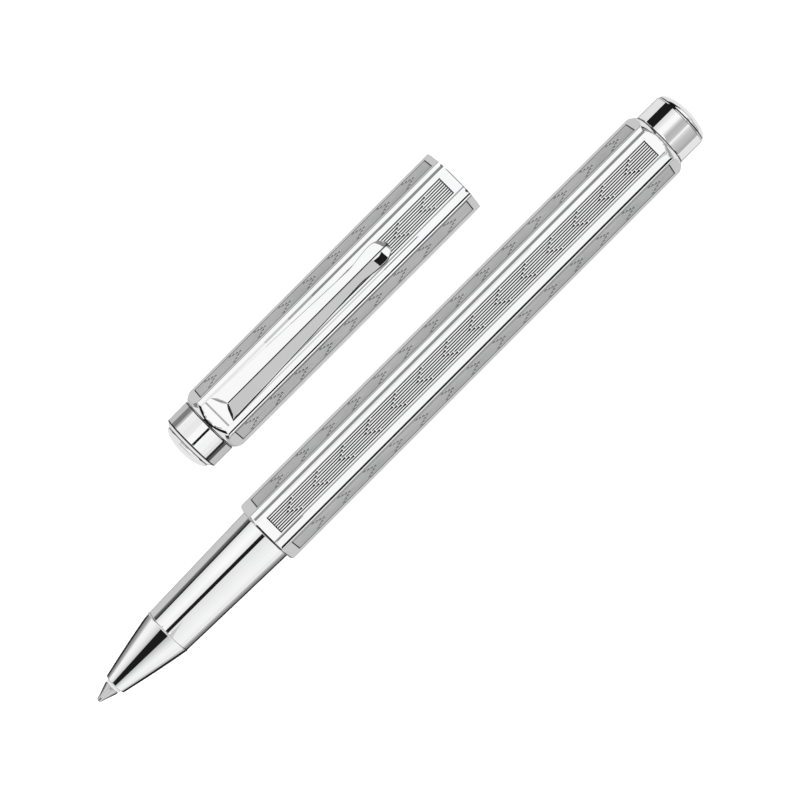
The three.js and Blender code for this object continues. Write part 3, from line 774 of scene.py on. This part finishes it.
def make_cap_knob():
    r = radius("cap_knob")
    x0, x1 = CAP_KNOB_X, CAP_SHELL_X - FACE_GAP
    end = end_x("cap_knob")
    stud_x = end - SCREW_HOLE_LENGTH
    outline = [(x0, STUD_HOLE)] + placed(CAP_KNOB_CONE, x0, r) + placed(CAP_KNOB_EDGE, x1, r) + [
        (x1, CAP_SPIGOT), (end, CAP_SPIGOT), (end, SCREW_HOLE), (stud_x, SCREW_HOLE), (stud_x, STUD_HOLE),
    ]
    # painted shade and dark reflection: dark rings at both ends of the cone and at the rim next to the shell
    joints = [(x0 - 0.01, x0 + 0.06, r - 1), (x0 + 0.5, x0 + 0.7, r - 0.3), (x1 - 0.13, x1, r - 0.3)]
    return revolve("cap_knob_turned", closed(outline), CAP_AXIS, joints=joints)


def make_cap_dome():
    r = radius("cap_knob") - 0.8
    rim = CAP_KNOB_X - FACE_GAP
    end = end_x("cap_dome")
    outline = arc(rim - 0.05, r, CAP_X, 0)[::-1]
    outline[0] = (CAP_X, 0)
    outline += [(rim, r - DOME_EDGE), (rim, DOME_STUD), (end, DOME_STUD), (end, 0)]
    return revolve("cap_dome_turned", outline, CAP_AXIS)


def make_liner():
    x0, x1 = start_x("cap_liner"), end_x("cap_liner")
    r = radius("cap_liner")
    bore = r - LINER_WALL
    floor = x0 + LINER_FLOOR
    outline = [(x0, 0), (x0, r, 0.1), (x1, r, 0.06), (x1, bore, 0.1), (floor, bore, 0.3), (floor, 0)]
    return revolve("cap_liner_moulded", rounded(outline), CAP_AXIS)


# ---- clip
CLIP_X = start_x("clip")
CLIP_END = end_x("clip")
CLIP_LENGTH = CLIP_END - CLIP_X
LONG_SIDES = (0, 4, 8, 16, 20, 24)  # places in the section after which a flat side starts
HELD_AT = (0.05, 0.95)  # places along a flat side where its shading is held straight


def held_place(k):
    """Where a section's point k stands once the held points are in."""
    return k + len(HELD_AT) * sum(side < k for side in LONG_SIDES)


CREST = range(held_place(9), held_place(16))  # faces of the section between its two slopes
FAR_HIP = range(held_place(9), held_place(12))
NEAR_HIP = range(held_place(13), held_place(16))
UPPER = range(held_place(7), held_place(18))
FOLD = (0.75, 1.05)  # where the front lip folds up into the rising plane
RAMP = 3.2  # length of the rising plane at the clip's front
FRONT_HEIGHT = 0.65  # of the clip's front edge over the flat
EDGE_HEIGHT = 1.7
RIDGE_HEIGHT = 2.45
HIP = RAMP * (EDGE_HEIGHT - FRONT_HEIGHT) / (RIDGE_HEIGHT - FRONT_HEIGHT)
ARM = 29.3  # where the arm meets the ball end
ARM_HALF = 1.35
ROOT_HALF = 2.4
BALL_HALF = 1.8
ROOT_ARCH = 0.2  # room between the clip and the flat at the root,
ARM_ARCH = 0.75  # how much more there is under the arm,
ARCH_LENGTH = 5  # and over what length it grows
RIDGE_FALL = 0.35  # of the ridge, towards the ball end
SWELL_END = 0.72  # share of the ball end at which it is widest
SWELL_CURVE = 1.5
DIP_START = 0.1  # share of the ball end at which its underside starts to come down
DIP_SPAN = 0.6
DIP = 0.8  # how far the underside comes down,
EDGE_DIP = 0.1  # and the edges


def clip_station(d):
    """(half width, underside, edge, ridge, half width of the flat top) at a distance along the clip. The
    heights are above the cap's axis."""
    plane = mix(FRONT_HEIGHT, RIDGE_HEIGHT, share(d / RAMP))
    edge = min(plane, EDGE_HEIGHT)
    arch = ROOT_ARCH + ARM_ARCH * share((d - RAMP) / ARCH_LENGTH)
    half = mix(ROOT_HALF, ARM_HALF, share((d - RAMP) / (ARM - RAMP)))
    top = half * (1 - share((d - HIP) / (RAMP - HIP)))
    ridge = plane - RIDGE_FALL * share((d - RAMP) / (CLIP_LENGTH - RAMP))
    if d > ARM:
        s = (d - ARM) / (CLIP_LENGTH - ARM)
        swell = sin(share(s / SWELL_END) * pi / 2)
        half = mix(ARM_HALF, BALL_HALF, swell ** SWELL_CURVE)
        dip = sin(share((s - DIP_START) / DIP_SPAN) * pi / 2) ** 2
        arch -= DIP * dip
        edge -= EDGE_DIP * dip
        top = 0.0
    return half, FLAT + arch, FLAT + edge, FLAT + ridge, top


def held_corners(section):
    """The section with a point close to both ends of its long sides."""
    out = []
    for k, point in enumerate(section):
        out.append(point)
        if k in LONG_SIDES:
            after = section[(k + 1) % len(section)]
            for t in HELD_AT:
                out.append((mix(point[0], after[0], t), mix(point[1], after[1], t)))
    return out


CORNER_FILLET = 0.22
CORNER_SHARE = 0.3  # of the half width, the most that a corner takes
FAR_CORNER_SHARE = 0.4  # of the other corners
NEAR_CORNER_EXTRA = 0.2  # at the root, until NEAR_CORNER_END along the clip
NEAR_CORNER_END = 9
NEAR_CORNER_FADE = 4
HIP_FILLET = 3.5
RIDGE_FILLET = 0.04
NARROWEST_FLAT = 0.05
RIDGE_HALF = 0.09


def clip_ring(d, half, low, edge, ridge, top):
    """The section's outline, with rounded edges: upright sides under two slopes that meet in a ridge or
    in a flat top."""
    corner = min(CORNER_FILLET, half * CORNER_SHARE)
    far_corner = FAR_CORNER_SHARE * corner
    near_corner = corner + NEAR_CORNER_EXTRA * share((NEAR_CORNER_END - d) / NEAR_CORNER_FADE)
    crest = HIP_FILLET if top > NARROWEST_FLAT and edge < ridge - FACE_GAP else RIDGE_FILLET
    top = max(top * 0.99, min(RIDGE_HALF, half * 0.1))
    section = closed([
        (0.0, low), (half, low, corner), (half, edge, far_corner), (top, ridge, crest), (-top, ridge, crest),
        (-half, edge, near_corner), (-half, low, corner),
    ], 3)
    return [(CLIP_X + d, CAP_Y + across, AXIS_Z + high) for across, high in held_corners(section)]


ROUND_END = 2.4  # length of the rounded end
HIP_RINGS = (0, 0.15, 0.5, 0.85, 1)
ARM_RINGS = 8
BALL_RINGS = 10
END_RINGS = 12
END_SHARE = 0.4  # of a ring, which a small face closes
HEART = 0.35  # share of the height at which the rounded end closes
NEAR_SLOPE = (-0.42, 0.15)  # faces whose normals are beyond these in y and z are painted dark: a painted dark reflection on the slope facing -Y
CLIP_SHARP = 14
DARK, SHADED = 1, 2  # material slots of the clip: painted dark reflection, and painted shade


def make_clip():
    end = CLIP_LENGTH - ROUND_END
    places = [FACE_GAP, *FOLD] + [mix(HIP, RAMP, t) for t in HIP_RINGS]
    places += [mix(RAMP, ARM, k / ARM_RINGS) for k in range(1, ARM_RINGS + 1)]
    places += [mix(ARM, end, k / BALL_RINGS) for k in range(1, BALL_RINGS + 1)]
    rings = [clip_ring(d, *clip_station(d)) for d in places]
    half, low, edge, ridge, top = clip_station(end)
    heart = mix(low, ridge, HEART)
    for k in range(1, END_RINGS + 1):
        a = pi / 2 * k / (END_RINGS + END_SHARE)
        heights = [mix(heart, height, cos(a)) for height in (low, edge, ridge)]
        rings.append(clip_ring(end + ROUND_END * sin(a), half * cos(a), *heights, top))
    count = len(rings[0])
    points = [p for ring in rings for p in ring]
    faces, slots = [], []
    for s in range(len(rings) - 1):
        along = (places[s] + places[s + 1]) / 2 if s + 1 < len(places) else CLIP_LENGTH
        faces += quads(s * count, (s + 1) * count, count)
        on_hips = HIP < along < RAMP
        for k in range(count):
            # painted dark reflection on the ridge and the near hip; painted shade on the far hip and along
            # the fold
            if k in CREST and along > RAMP or k in NEAR_HIP and on_hips:
                slots.append(DARK)
            elif k in FAR_HIP and on_hips or k in UPPER and FOLD[0] < along < FOLD[1]:
                slots.append(SHADED)
            else:
                slots.append(PLAIN)
    last = (len(rings) - 1) * count
    faces.append(tuple(range(count))[::-1])
    faces.append(tuple(range(last, last + count)))
    slots += [PLAIN, PLAIN]
    obj = faces_out(mesh_object("clip_formed", points, faces, slots, sharp=CLIP_SHARP))
    # painted dark reflection on faces that face -Y and up
    for polygon in obj.data.polygons:
        if polygon.normal.y < NEAR_SLOPE[0] and polygon.normal.z > NEAR_SLOPE[1]:
            polygon.material_index = DARK
    return obj


TANG_START = 1.2  # behind the clip's front
TANG_LENGTH = 2.0
TANG_HALF = 1.5
TANG_FOOT = 3.15  # above the cap's axis
TANG_FILLET = 0.2


def make_tang():
    """The clip's tang, which goes down through the slot into the anchor."""
    x0 = CLIP_X + TANG_START
    half, low, high = TANG_HALF, TANG_FOOT, FLAT + 0.4
    section = closed([
        (0.0, low), (half, low, TANG_FILLET), (half, high), (-half, high), (-half, low, TANG_FILLET),
    ], 3)
    count = len(section)
    points = [(x, CAP_Y + y, AXIS_Z + z) for x in (x0, x0 + TANG_LENGTH) for y, z in section]
    faces = quads(0, count, count) + [tuple(range(count))[::-1], tuple(range(count, 2 * count))]
    return faces_out(mesh_object("clip_tang", points, faces, sharp=30))


# ---- materials
def put(node, **values):
    """Set a node's inputs by name; an underscore stands for a space."""
    for name, value in values.items():
        node.inputs[name.replace("_", " ")].default_value = value


NOISE_SPAN = (0.3, 0.7)  # the part of a noise over which a look changes


class Nodes:
    """A short way to make a node material."""

    def __init__(self, name):
        self.material = bpy.data.materials.new(name)
        self.material.use_nodes = True
        self.tree = self.material.node_tree
        self.shader = self.tree.nodes["Principled BSDF"]
        self.place = self.add("ShaderNodeTexCoord").outputs["Object"]

    def add(self, kind):
        return self.tree.nodes.new(kind)

    def link(self, a, b):
        self.tree.links.new(a, b)

    def noise(self, scale, stretch=(1, 1, 1), detail=4, roughness=0.5):
        mapping = self.add("ShaderNodeMapping")
        put(mapping, Scale=stretch)
        self.link(self.place, mapping.inputs["Vector"])
        noise = self.add("ShaderNodeTexNoise")
        put(noise, Scale=scale, Detail=detail, Roughness=roughness)
        self.link(mapping.outputs["Vector"], noise.inputs["Vector"])
        return noise.outputs["Fac"]

    def roughness(self, source, low, high):
        span = self.add("ShaderNodeMapRange")
        put(span, From_Min=NOISE_SPAN[0], From_Max=NOISE_SPAN[1], To_Min=low, To_Max=high)
        self.link(source, span.inputs["Value"])
        self.link(span.outputs["Result"], self.shader.inputs["Roughness"])

    def color(self, source, low, high):
        ramp = self.add("ShaderNodeValToRGB")
        for element, place, color in zip(ramp.color_ramp.elements, NOISE_SPAN, (low, high)):
            element.position = place
            element.color = (*color, 1)
        self.link(source, ramp.inputs["Fac"])
        self.link(ramp.outputs["Color"], self.shader.inputs["Base Color"])

    def bump(self, source, strength, distance):
        bump = self.add("ShaderNodeBump")
        put(bump, Strength=strength, Distance=distance)
        self.link(source, bump.inputs["Height"])
        self.link(bump.outputs["Normal"], self.shader.inputs["Normal"])


def metal(name, low, high, roughness, grain, bump=0.0, stretch=(40, 900, 900)):
    """Polished or drawn metal: faint cloudiness in colour and roughness, and hairlines along the piece."""
    m = Nodes(name)
    put(m.shader, Metallic=1.0)
    clouds = m.noise(180, detail=3)
    hairlines = m.noise(1.0, stretch, detail=2, roughness=0.6)
    m.color(clouds, low, high)
    m.roughness(hairlines, roughness, roughness + grain)
    if bump:
        m.bump(hairlines, bump, 0.00001)
    return m.material


def plastic(name, low, high, roughness, bump):
    """Moulded plastic with a faint flow pattern and a fine skin."""
    m = Nodes(name)
    skin = m.noise(5200, detail=2)
    flow = m.noise(260, (1, 3, 3), detail=4)
    m.color(flow, low, high)
    m.roughness(flow, roughness - 0.05, roughness + 0.06)
    m.bump(skin, bump, 0.00002)
    return m.material


def fibre(name, low, high):
    m = Nodes(name)
    strands = m.noise(1.0, (300, 9000, 9000), detail=3, roughness=0.7)
    m.color(strands, low, high)
    put(m.shader, Roughness=0.85)
    m.bump(strands, 0.5, 0.00004)
    return m.material


ACROSS = (2600, 60, 60)  # stretches the hairlines around a turned piece
PLATE, BRIGHT_PLATE = (0.9, 0.902, 0.91), (0.93, 0.93, 0.935)
POLISHED = metal("polished_plate", (0.905, 0.907, 0.915), BRIGHT_PLATE, 0.012, 0.012)
TURNED = metal("turned_plate", PLATE, BRIGHT_PLATE, 0.012, 0.012, stretch=ACROSS)
FACET = metal("facet_plate", PLATE, BRIGHT_PLATE, 0.015, 0.02)
# painted shade: near black for the grooves and marks, and a lighter grey for the side facets' grooves, in
# place of the shade inside the engraving
GROOVE_PAINTED_SHADE = metal("engraving_painted_shade", (0.07, 0.07, 0.075), (0.13, 0.13, 0.135), 0.3, 0.15, 0.1)
SIDE_GROOVE_PAINTED_SHADE = metal("engraving_sides_painted_shade", (0.33, 0.33, 0.335), (0.43, 0.43, 0.435), 0.3, 0.15, 0.1)
# painted shade and painted dark reflection: near black for edges, rims, the clip's ridge and its slope facing
# -Y
PAINTED_DARK = metal("painted_dark_shade", (0.02, 0.02, 0.022), (0.04, 0.04, 0.042), 0.3, 0.1)
# painted shade: grey for the clip's far hip and along its fold
PAINTED_FOLD_SHADE = metal("fold_shade", (0.42, 0.42, 0.425), (0.48, 0.48, 0.485), 0.3, 0.1)
STEEL = metal("drawn_steel", (0.6, 0.61, 0.63), (0.68, 0.69, 0.7), 0.2, 0.12, 0.15)
BRASS = metal("machined_brass", (0.72, 0.55, 0.27), (0.8, 0.63, 0.34), 0.2, 0.12, 0.15, ACROSS)
BALL = metal("carbide_ball", (0.42, 0.43, 0.45), (0.5, 0.51, 0.53), 0.12, 0.08, 0.05)
TIP_STEEL = metal("tip_steel", (0.6, 0.6, 0.61), (0.68, 0.68, 0.69), 0.16, 0.08, 0.08, (3200, 80, 80))
WHITE = plastic("white_plastic", (0.8, 0.81, 0.83), (0.86, 0.87, 0.88), 0.35, 0.08)
BLACK = plastic("black_plastic", (0.02, 0.02, 0.022), (0.035, 0.035, 0.038), 0.42, 0.15)
SEAL = plastic("seal_rubber", (0.012, 0.012, 0.013), (0.022, 0.022, 0.022), 0.7, 0.4)
INK = fibre("inked_fibre", (0.012, 0.02, 0.07), (0.03, 0.05, 0.13))


def add_piece(obj, body, nodes, slot, *materials):
    for material in materials:
        obj.data.materials.append(material)
    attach(obj, body)
    if nodes:
        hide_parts(*nodes)
    return obj


SHELL_METALS = (FACET, GROOVE_PAINTED_SHADE, SIDE_GROOVE_PAINTED_SHADE, PAINTED_DARK)
add_piece(make_barrel(), "barrel", ["barrel_shell"], "engraved_metal", *SHELL_METALS)
add_piece(make_rear_knob(), "barrel", ["rear_knob"], "polished_metal", TURNED, PAINTED_DARK)
add_piece(make_rear_dome(), "barrel", ["rear_dome"], "polished_metal", TURNED)
add_piece(make_grip(), "section", ["grip_sleeve"], "polished_metal", TURNED)
add_piece(make_nose(), "section", ["nose_cone"], "polished_metal", TURNED)
add_piece(make_core(), "section", ["section_core"], "brass", BRASS)
add_piece(make_tip(), "refill", ["writing_tip"], "steel", TIP_STEEL)
add_piece(make_holder(), "refill", ["refill_holder"], "white_plastic", WHITE)
add_piece(make_ball(), "ball", ["writing_ball"], "ball_metal", BALL)
add_piece(make_cap_shell(), "cap", ["cap_shell"], "engraved_metal", *SHELL_METALS)
add_piece(make_cap_knob(), "cap", ["cap_knob"], "polished_metal", TURNED, PAINTED_DARK)
add_piece(make_cap_dome(), "cap", ["cap_dome"], "polished_metal", TURNED)
add_piece(make_liner(), "cap", ["cap_liner"], "black_plastic", BLACK)
add_piece(make_clip(), "clip", ["clip"], "polished_metal", POLISHED, PAINTED_DARK, PAINTED_FOLD_SHADE)
add_piece(make_tang(), "clip", [], "polished_metal", POLISHED)

KEPT = {
    "barrel_thread_bush": BRASS, "spring_seat": BLACK, "refill_spring": STEEL, "refill_tube": STEEL,
    "refill_end_plug": BLACK, "ink_reservoir": INK, "feed_wick": INK, "clip_anchor": STEEL,
    "cap_screw": STEEL, "tip_seal": SEAL, "cap_snap_ring": STEEL,
}
for node, material in KEPT.items():
    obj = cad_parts[node]
    obj.data.materials.clear()
    obj.data.materials.append(material)


# ---- stage
def stage_mesh(name, points, faces, materials, slots=None, shown=False):
    """Part of the stage: seen by the camera if `shown`, and otherwise only in reflections."""
    obj = mesh_object(name, points, faces, slots)
    for material in materials:
        obj.data.materials.append(material)
    obj.visible_camera = obj.visible_diffuse = obj.visible_shadow = obj.visible_transmission = shown
    obj.visible_glossy = not shown


def matt(name, value, glow_value=0.0):
    m = bpy.data.materials.new(name)
    m.use_nodes = True
    put(m.node_tree.nodes["Principled BSDF"], Base_Color=(value, value, value, 1), Roughness=1.0,
        Specular_IOR_Level=0.0, Emission_Color=(1, 1, 1, 1), Emission_Strength=glow_value)
    return m


GLOWS = {}


def glow(value):
    """A card's material of even brightness, which only reflections see."""
    if value not in GLOWS:
        m = bpy.data.materials.new(f"card_{round(value * 1000):04d}")
        m.use_nodes = True
        nodes = m.node_tree.nodes
        nodes.clear()
        light = nodes.new("ShaderNodeEmission")
        put(light, Color=(value, value, value, 1))
        out = nodes.new("ShaderNodeOutputMaterial")
        m.node_tree.links.new(light.outputs["Emission"], out.inputs["Surface"])
        GLOWS[value] = m
    return GLOWS[value]


def sheet_at(name, x0, x1, y0, y1, z, material, shown=False):
    points = [(x0, y0, z), (x1, y0, z), (x1, y1, z), (x0, y1, z)]
    stage_mesh(name, points, [(0, 1, 2, 3)], [material], shown=shown)


def wall(name, y, places, zones):
    """An upright card along the pen, seen only in reflections. The zones lie between the places, and each
    one's bands are (top, brightness), from the table up."""
    points, faces, values = [], [], []
    for x0, x1, bands in zip(places, places[1:], zones):
        low = 0.0
        for high, value in bands:
            base = len(points)
            points += [(x0, y, low), (x1, y, low), (x1, y, high), (x0, y, high)]
            faces.append((base, base + 1, base + 2, base + 3))
            values.append(value)
            low = high
    kinds = sorted(set(values))
    stage_mesh(name, points, faces, [glow(v) for v in kinds], [kinds.index(v) for v in values])


def cross_card(name, x, y, half_width, low, high, value):
    """An upright card across the pen, seen only in reflections."""
    left, right = y + half_width, y - half_width
    points = [(x, right, low), (x, left, low), (x, left, high), (x, right, high)]
    stage_mesh(name, points, [(0, 1, 2, 3)], [glow(value)])


TABLE_HALF = 1500
NEAR_HALF = 24
pale_table = matt("pale_table", 0.9, 0.55)
sheet_at("table", -TABLE_HALF, TABLE_HALF, -TABLE_HALF, TABLE_HALF, -FACE_GAP, pale_table, True)
table_in_metal = matt("table_in_metal", 0.62)
sheet_at("table_near", -170, 170, -NEAR_HALF, CAP_Y + NEAR_HALF, 0, table_in_metal)


def dark_bowl(radius_mm, rim):
    """A dark tray under and around the table, seen only in reflections: the unlit room at the horizon."""
    sides = 48
    step = 2 * pi / sides
    points = [(0, 0, -1)]
    for r, z in ((radius_mm, -1), (radius_mm * 1.001, rim)):
        points += [(r * cos(k * step), r * sin(k * step), z) for k in range(sides)]
    faces = [(0, 1 + k, 1 + (k + 1) % sides) for k in range(sides)] + quads(1, 1 + sides, sides)
    stage_mesh("dark_surround", points, faces, [glow(SURROUND)])


SURROUND = 0.02
dark_bowl(600, 50)
CAMERA_X = BALL_X + 63.4
CAMERA_Y = -0.07
CAMERA_Z = AXIS_Z + 409
BLACK_CARD = 0.012
WHITE_CARD = 1.02

# the walls stand between the pen and the cap, and outside them
WALL_OUT = 8.7
NOSE_ZONE_END = BALL_X + 12.8
GRIP_ZONE_END = BARREL_X - 0.4

NOSE_LOW = [(1.6, BLACK_CARD), (2.4, 0.3), (4.6, 0.6)]
NOSE_LEFT = [
    (1.0, BLACK_CARD), (2.6, 0.2), (4.3, 0.32), (5.7, 0.38), (6.9, 0.68), (11, 0.98), (12.3, 0.93),
    (13.9, 0.87), (16, 0.8), (18.5, 0.73), (22, 0.6),
]
NOSE_RIGHT = NOSE_LOW + [
    (8.0, 0.92), (12.9, 0.98), (14.8, 0.91), (17, 0.87), (19.9, 0.8), (24, 0.72), (30, 0.64), (40, 0.6),
]
GRIP_LEFT = [
    (7.08, 0.61), (7.75, 0.24), (9.0, 0.1), (9.95, BLACK_CARD), (11, 0.8), (12, 0.87), (14, 0.94), (17, 0.99),
    (22, 1.03), (28, 1.0), (36, 0.94), (48, 0.9),
]
GRIP_RIGHT = [
    (3.5, 0.25), (5.3, 0.5), (8.0, 0.9), (12.5, 0.98), (16, 0.95), (22, 0.92), (35, 0.88), (40, 0.86),
]
HEX_LEFT = [(6.6, 0.62), (7.6, 0.3), (13.4, WHITE_CARD), (20.5, 0.28), (27, WHITE_CARD)]
HEX_RIGHT = [(6.3, 0.62), (6.8, 0.3), (8.2, WHITE_CARD), (10.3, BLACK_CARD), (21, WHITE_CARD)]
KNOB_LEFT = [(8.45, 0.83), (15.0, BLACK_CARD), (16.5, 0.8), (18.5, 0.83), (22, 0.89), (28, 0.99), (34, 1.05)]
KNOB_RIGHT = [
    (7.5, 0.85), (8.1, 0.47), (8.75, 0.42), (9.4, 0.46), (10.4, 0.5), (11.8, 0.54), (13.4, 0.57),
    (15.2, 0.64), (16.9, 0.75), (17.9, 0.88), (19.6, 1.02), (21.5, 0.75), (25.5, 0.57), (40, 0.52),
]
KNOB_OVERHEAD = (0.5, 0.5, 0.53, 0.62, 0.735, 0.87, 1.0)  # cards over the rear knob, towards +Y
KNOB_STRIP = 2.1
KNOB_STRIPS_RIGHT = 4.5  # how many of them stand on the right of the axis
CAP_KNOB_LEFT = [(6.1, 0.56), (9.2, 0.22), (10.4, 0.5), (12, 0.95), (16, 0.92), (24, 0.88), (34, 0.9)]
CAP_KNOB_RIGHT = [(6.5, 0.56), (8.0, 0.1), (9.3, 0.03), (11, 0.8), (14, 0.9), (20, 0.97), (30, 1.0)]
DOME_BANDS = [(20, 0.85)]
CAP_RIGHT_AT_CLIP = HEX_RIGHT[:-1] + [(20, WHITE_CARD), (26, 0.62)]
CAP_RIGHT_AT_CLIP_END = HEX_RIGHT[:-1] + [(20.5, WHITE_CARD), (25, BLACK_CARD)]


def cap_left_at_clip(value):
    """HEX_LEFT with its grey band cut low, so that only the flat's rounded edge shows it."""
    return HEX_LEFT[:3] + [(19.3, value), (27, WHITE_CARD)]


PEN_RIGHT = [(6.3, 0.62), (6.8, 0.3), (7.9, WHITE_CARD), (10.9, BLACK_CARD), (21, WHITE_CARD)]
PEN_PLACES = (-100, NOSE_ZONE_END, GRIP_ZONE_END, KNOB_X + 0.9, 70)
wall("wall_pen_left", WALL_OUT - 0.3, PEN_PLACES, [NOSE_LEFT, GRIP_LEFT, HEX_LEFT, KNOB_LEFT])
wall("wall_pen_right", -WALL_OUT, PEN_PLACES, [NOSE_RIGHT, GRIP_RIGHT, PEN_RIGHT, KNOB_RIGHT])
CAP_START_PLACES = (CAP_X - 25, CAP_X - 0.5, CAP_SHELL_X - 0.2)
wall("wall_cap_left", CAP_Y + WALL_OUT, (
    *CAP_START_PLACES, CLIP_X + 13, CLIP_X + 18, CLIP_X + 23, CLIP_END + 1, MOUTH_X + 6,
), [
    DOME_BANDS, CAP_KNOB_LEFT, *map(cap_left_at_clip, (0.85, 0.62, 0.42, 0.28)), HEX_LEFT,
])
wall("wall_cap_right", CAP_Y - WALL_OUT + 0.3, (
    *CAP_START_PLACES, CLIP_X - 0.5, CLIP_END - 2.7, CLIP_END + 4.5, MOUTH_X + 6,
), [DOME_BANDS, CAP_KNOB_RIGHT, HEX_RIGHT, CAP_RIGHT_AT_CLIP, CAP_RIGHT_AT_CLIP_END, HEX_RIGHT])

# cards overhead, just over the table, and level with the camera
LOW_CARD_Z = AXIS_Z + 35
for k, value in enumerate(KNOB_OVERHEAD):
    side = KNOB_STRIP * (k - KNOB_STRIPS_RIGHT)
    sheet_at(f"knob_card_{k}", KNOB_X + 4.5, KNOB_X + 17, side, side + KNOB_STRIP, LOW_CARD_Z, glow(value))
CARDS = [
    ("edge_strip_pen", BARREL_X - 2.6, KNOB_X + 3, -6.3, -2.9, LOW_CARD_Z, 0.35),
    ("edge_strip_cap", CAP_SHELL_X - 0.8, MOUTH_X + 3, CAP_Y - 5.6, CAP_Y - 1.9, LOW_CARD_Z, 0.35),
    ("nose_floor", PEN_PLACES[0], NOSE_ZONE_END, -WALL_OUT, WALL_OUT - 0.3, FACE_GAP, BLACK_CARD),
    ("grip_card", GRIP_X - 5, BARREL_X - 4.0, -WALL_OUT, -3.3, LOW_CARD_Z, 0.84),
    ("grip_card_far", GRIP_X - 5, BARREL_X - 4.0, 5.2, WALL_OUT - 0.3, LOW_CARD_Z, 0.88),
    ("cap_dome_floor", CAP_X - 60, CAP_X - 0.5, CAP_Y - 8.3, CAP_Y + 8.3, FACE_GAP, 0.85),
    ("rear_dome_floor", PEN_END_X + 0.3, PEN_END_X + 60, -8.3, 8.3, FACE_GAP, 0.85),
    ("grip_floor", NOSE_ZONE_END, GRIP_ZONE_END, -WALL_OUT, -1, FACE_GAP, BLACK_CARD),
    ("nose_card", CAMERA_X - 400, CAMERA_X - 220, -213, 317, CAMERA_Z, BLACK_CARD),
    ("grip_strip", CAMERA_X - 150, CAMERA_X - 74, -45, 64, CAMERA_Z, BLACK_CARD),
    ("cap_knob_strip", CAMERA_X - 55.5, CAMERA_X - 44.6, -97, -31, CAMERA_Z, BLACK_CARD),
]
for name, x0, x1, y0, y1, z, value in CARDS:
    sheet_at(name, x0, x1, y0, y1, z, glow(value))

cross_card("cap_neck_card", CAP_SHELL_X - 0.15, CAP_Y, 5, AXIS_Z + 4.85, AXIS_Z + 6.4, BLACK_CARD)
cross_card("clip_end_card", MOUTH_X + 0.8, CAP_Y, 5, AXIS_Z + FLAT + 0.3, AXIS_Z + FLAT + 9, BLACK_CARD)
cross_card("rear_neck_card", KNOB_X + 0.15, 0, 5, AXIS_Z + 4.75, AXIS_Z + 6, 0.35)

WORLD_STRENGTH = 1.03
world = bpy.data.worlds.new("studio")
world.use_nodes = True
put(world.node_tree.nodes["Background"], Color=(1, 1, 1, 1), Strength=WORLD_STRENGTH)
bpy.context.scene.world = world

camera = new_object("camera", bpy.data.cameras.new("camera"))
camera.data.sensor_width = 36
camera.data.lens = 123.75
camera.location = (CAMERA_X * MM, CAMERA_Y * MM, CAMERA_Z * MM)
camera.rotation_euler = (0, 0, -pi / 4)
bpy.context.scene.camera = camera
bpy.context.scene.view_settings.view_transform = "Standard"
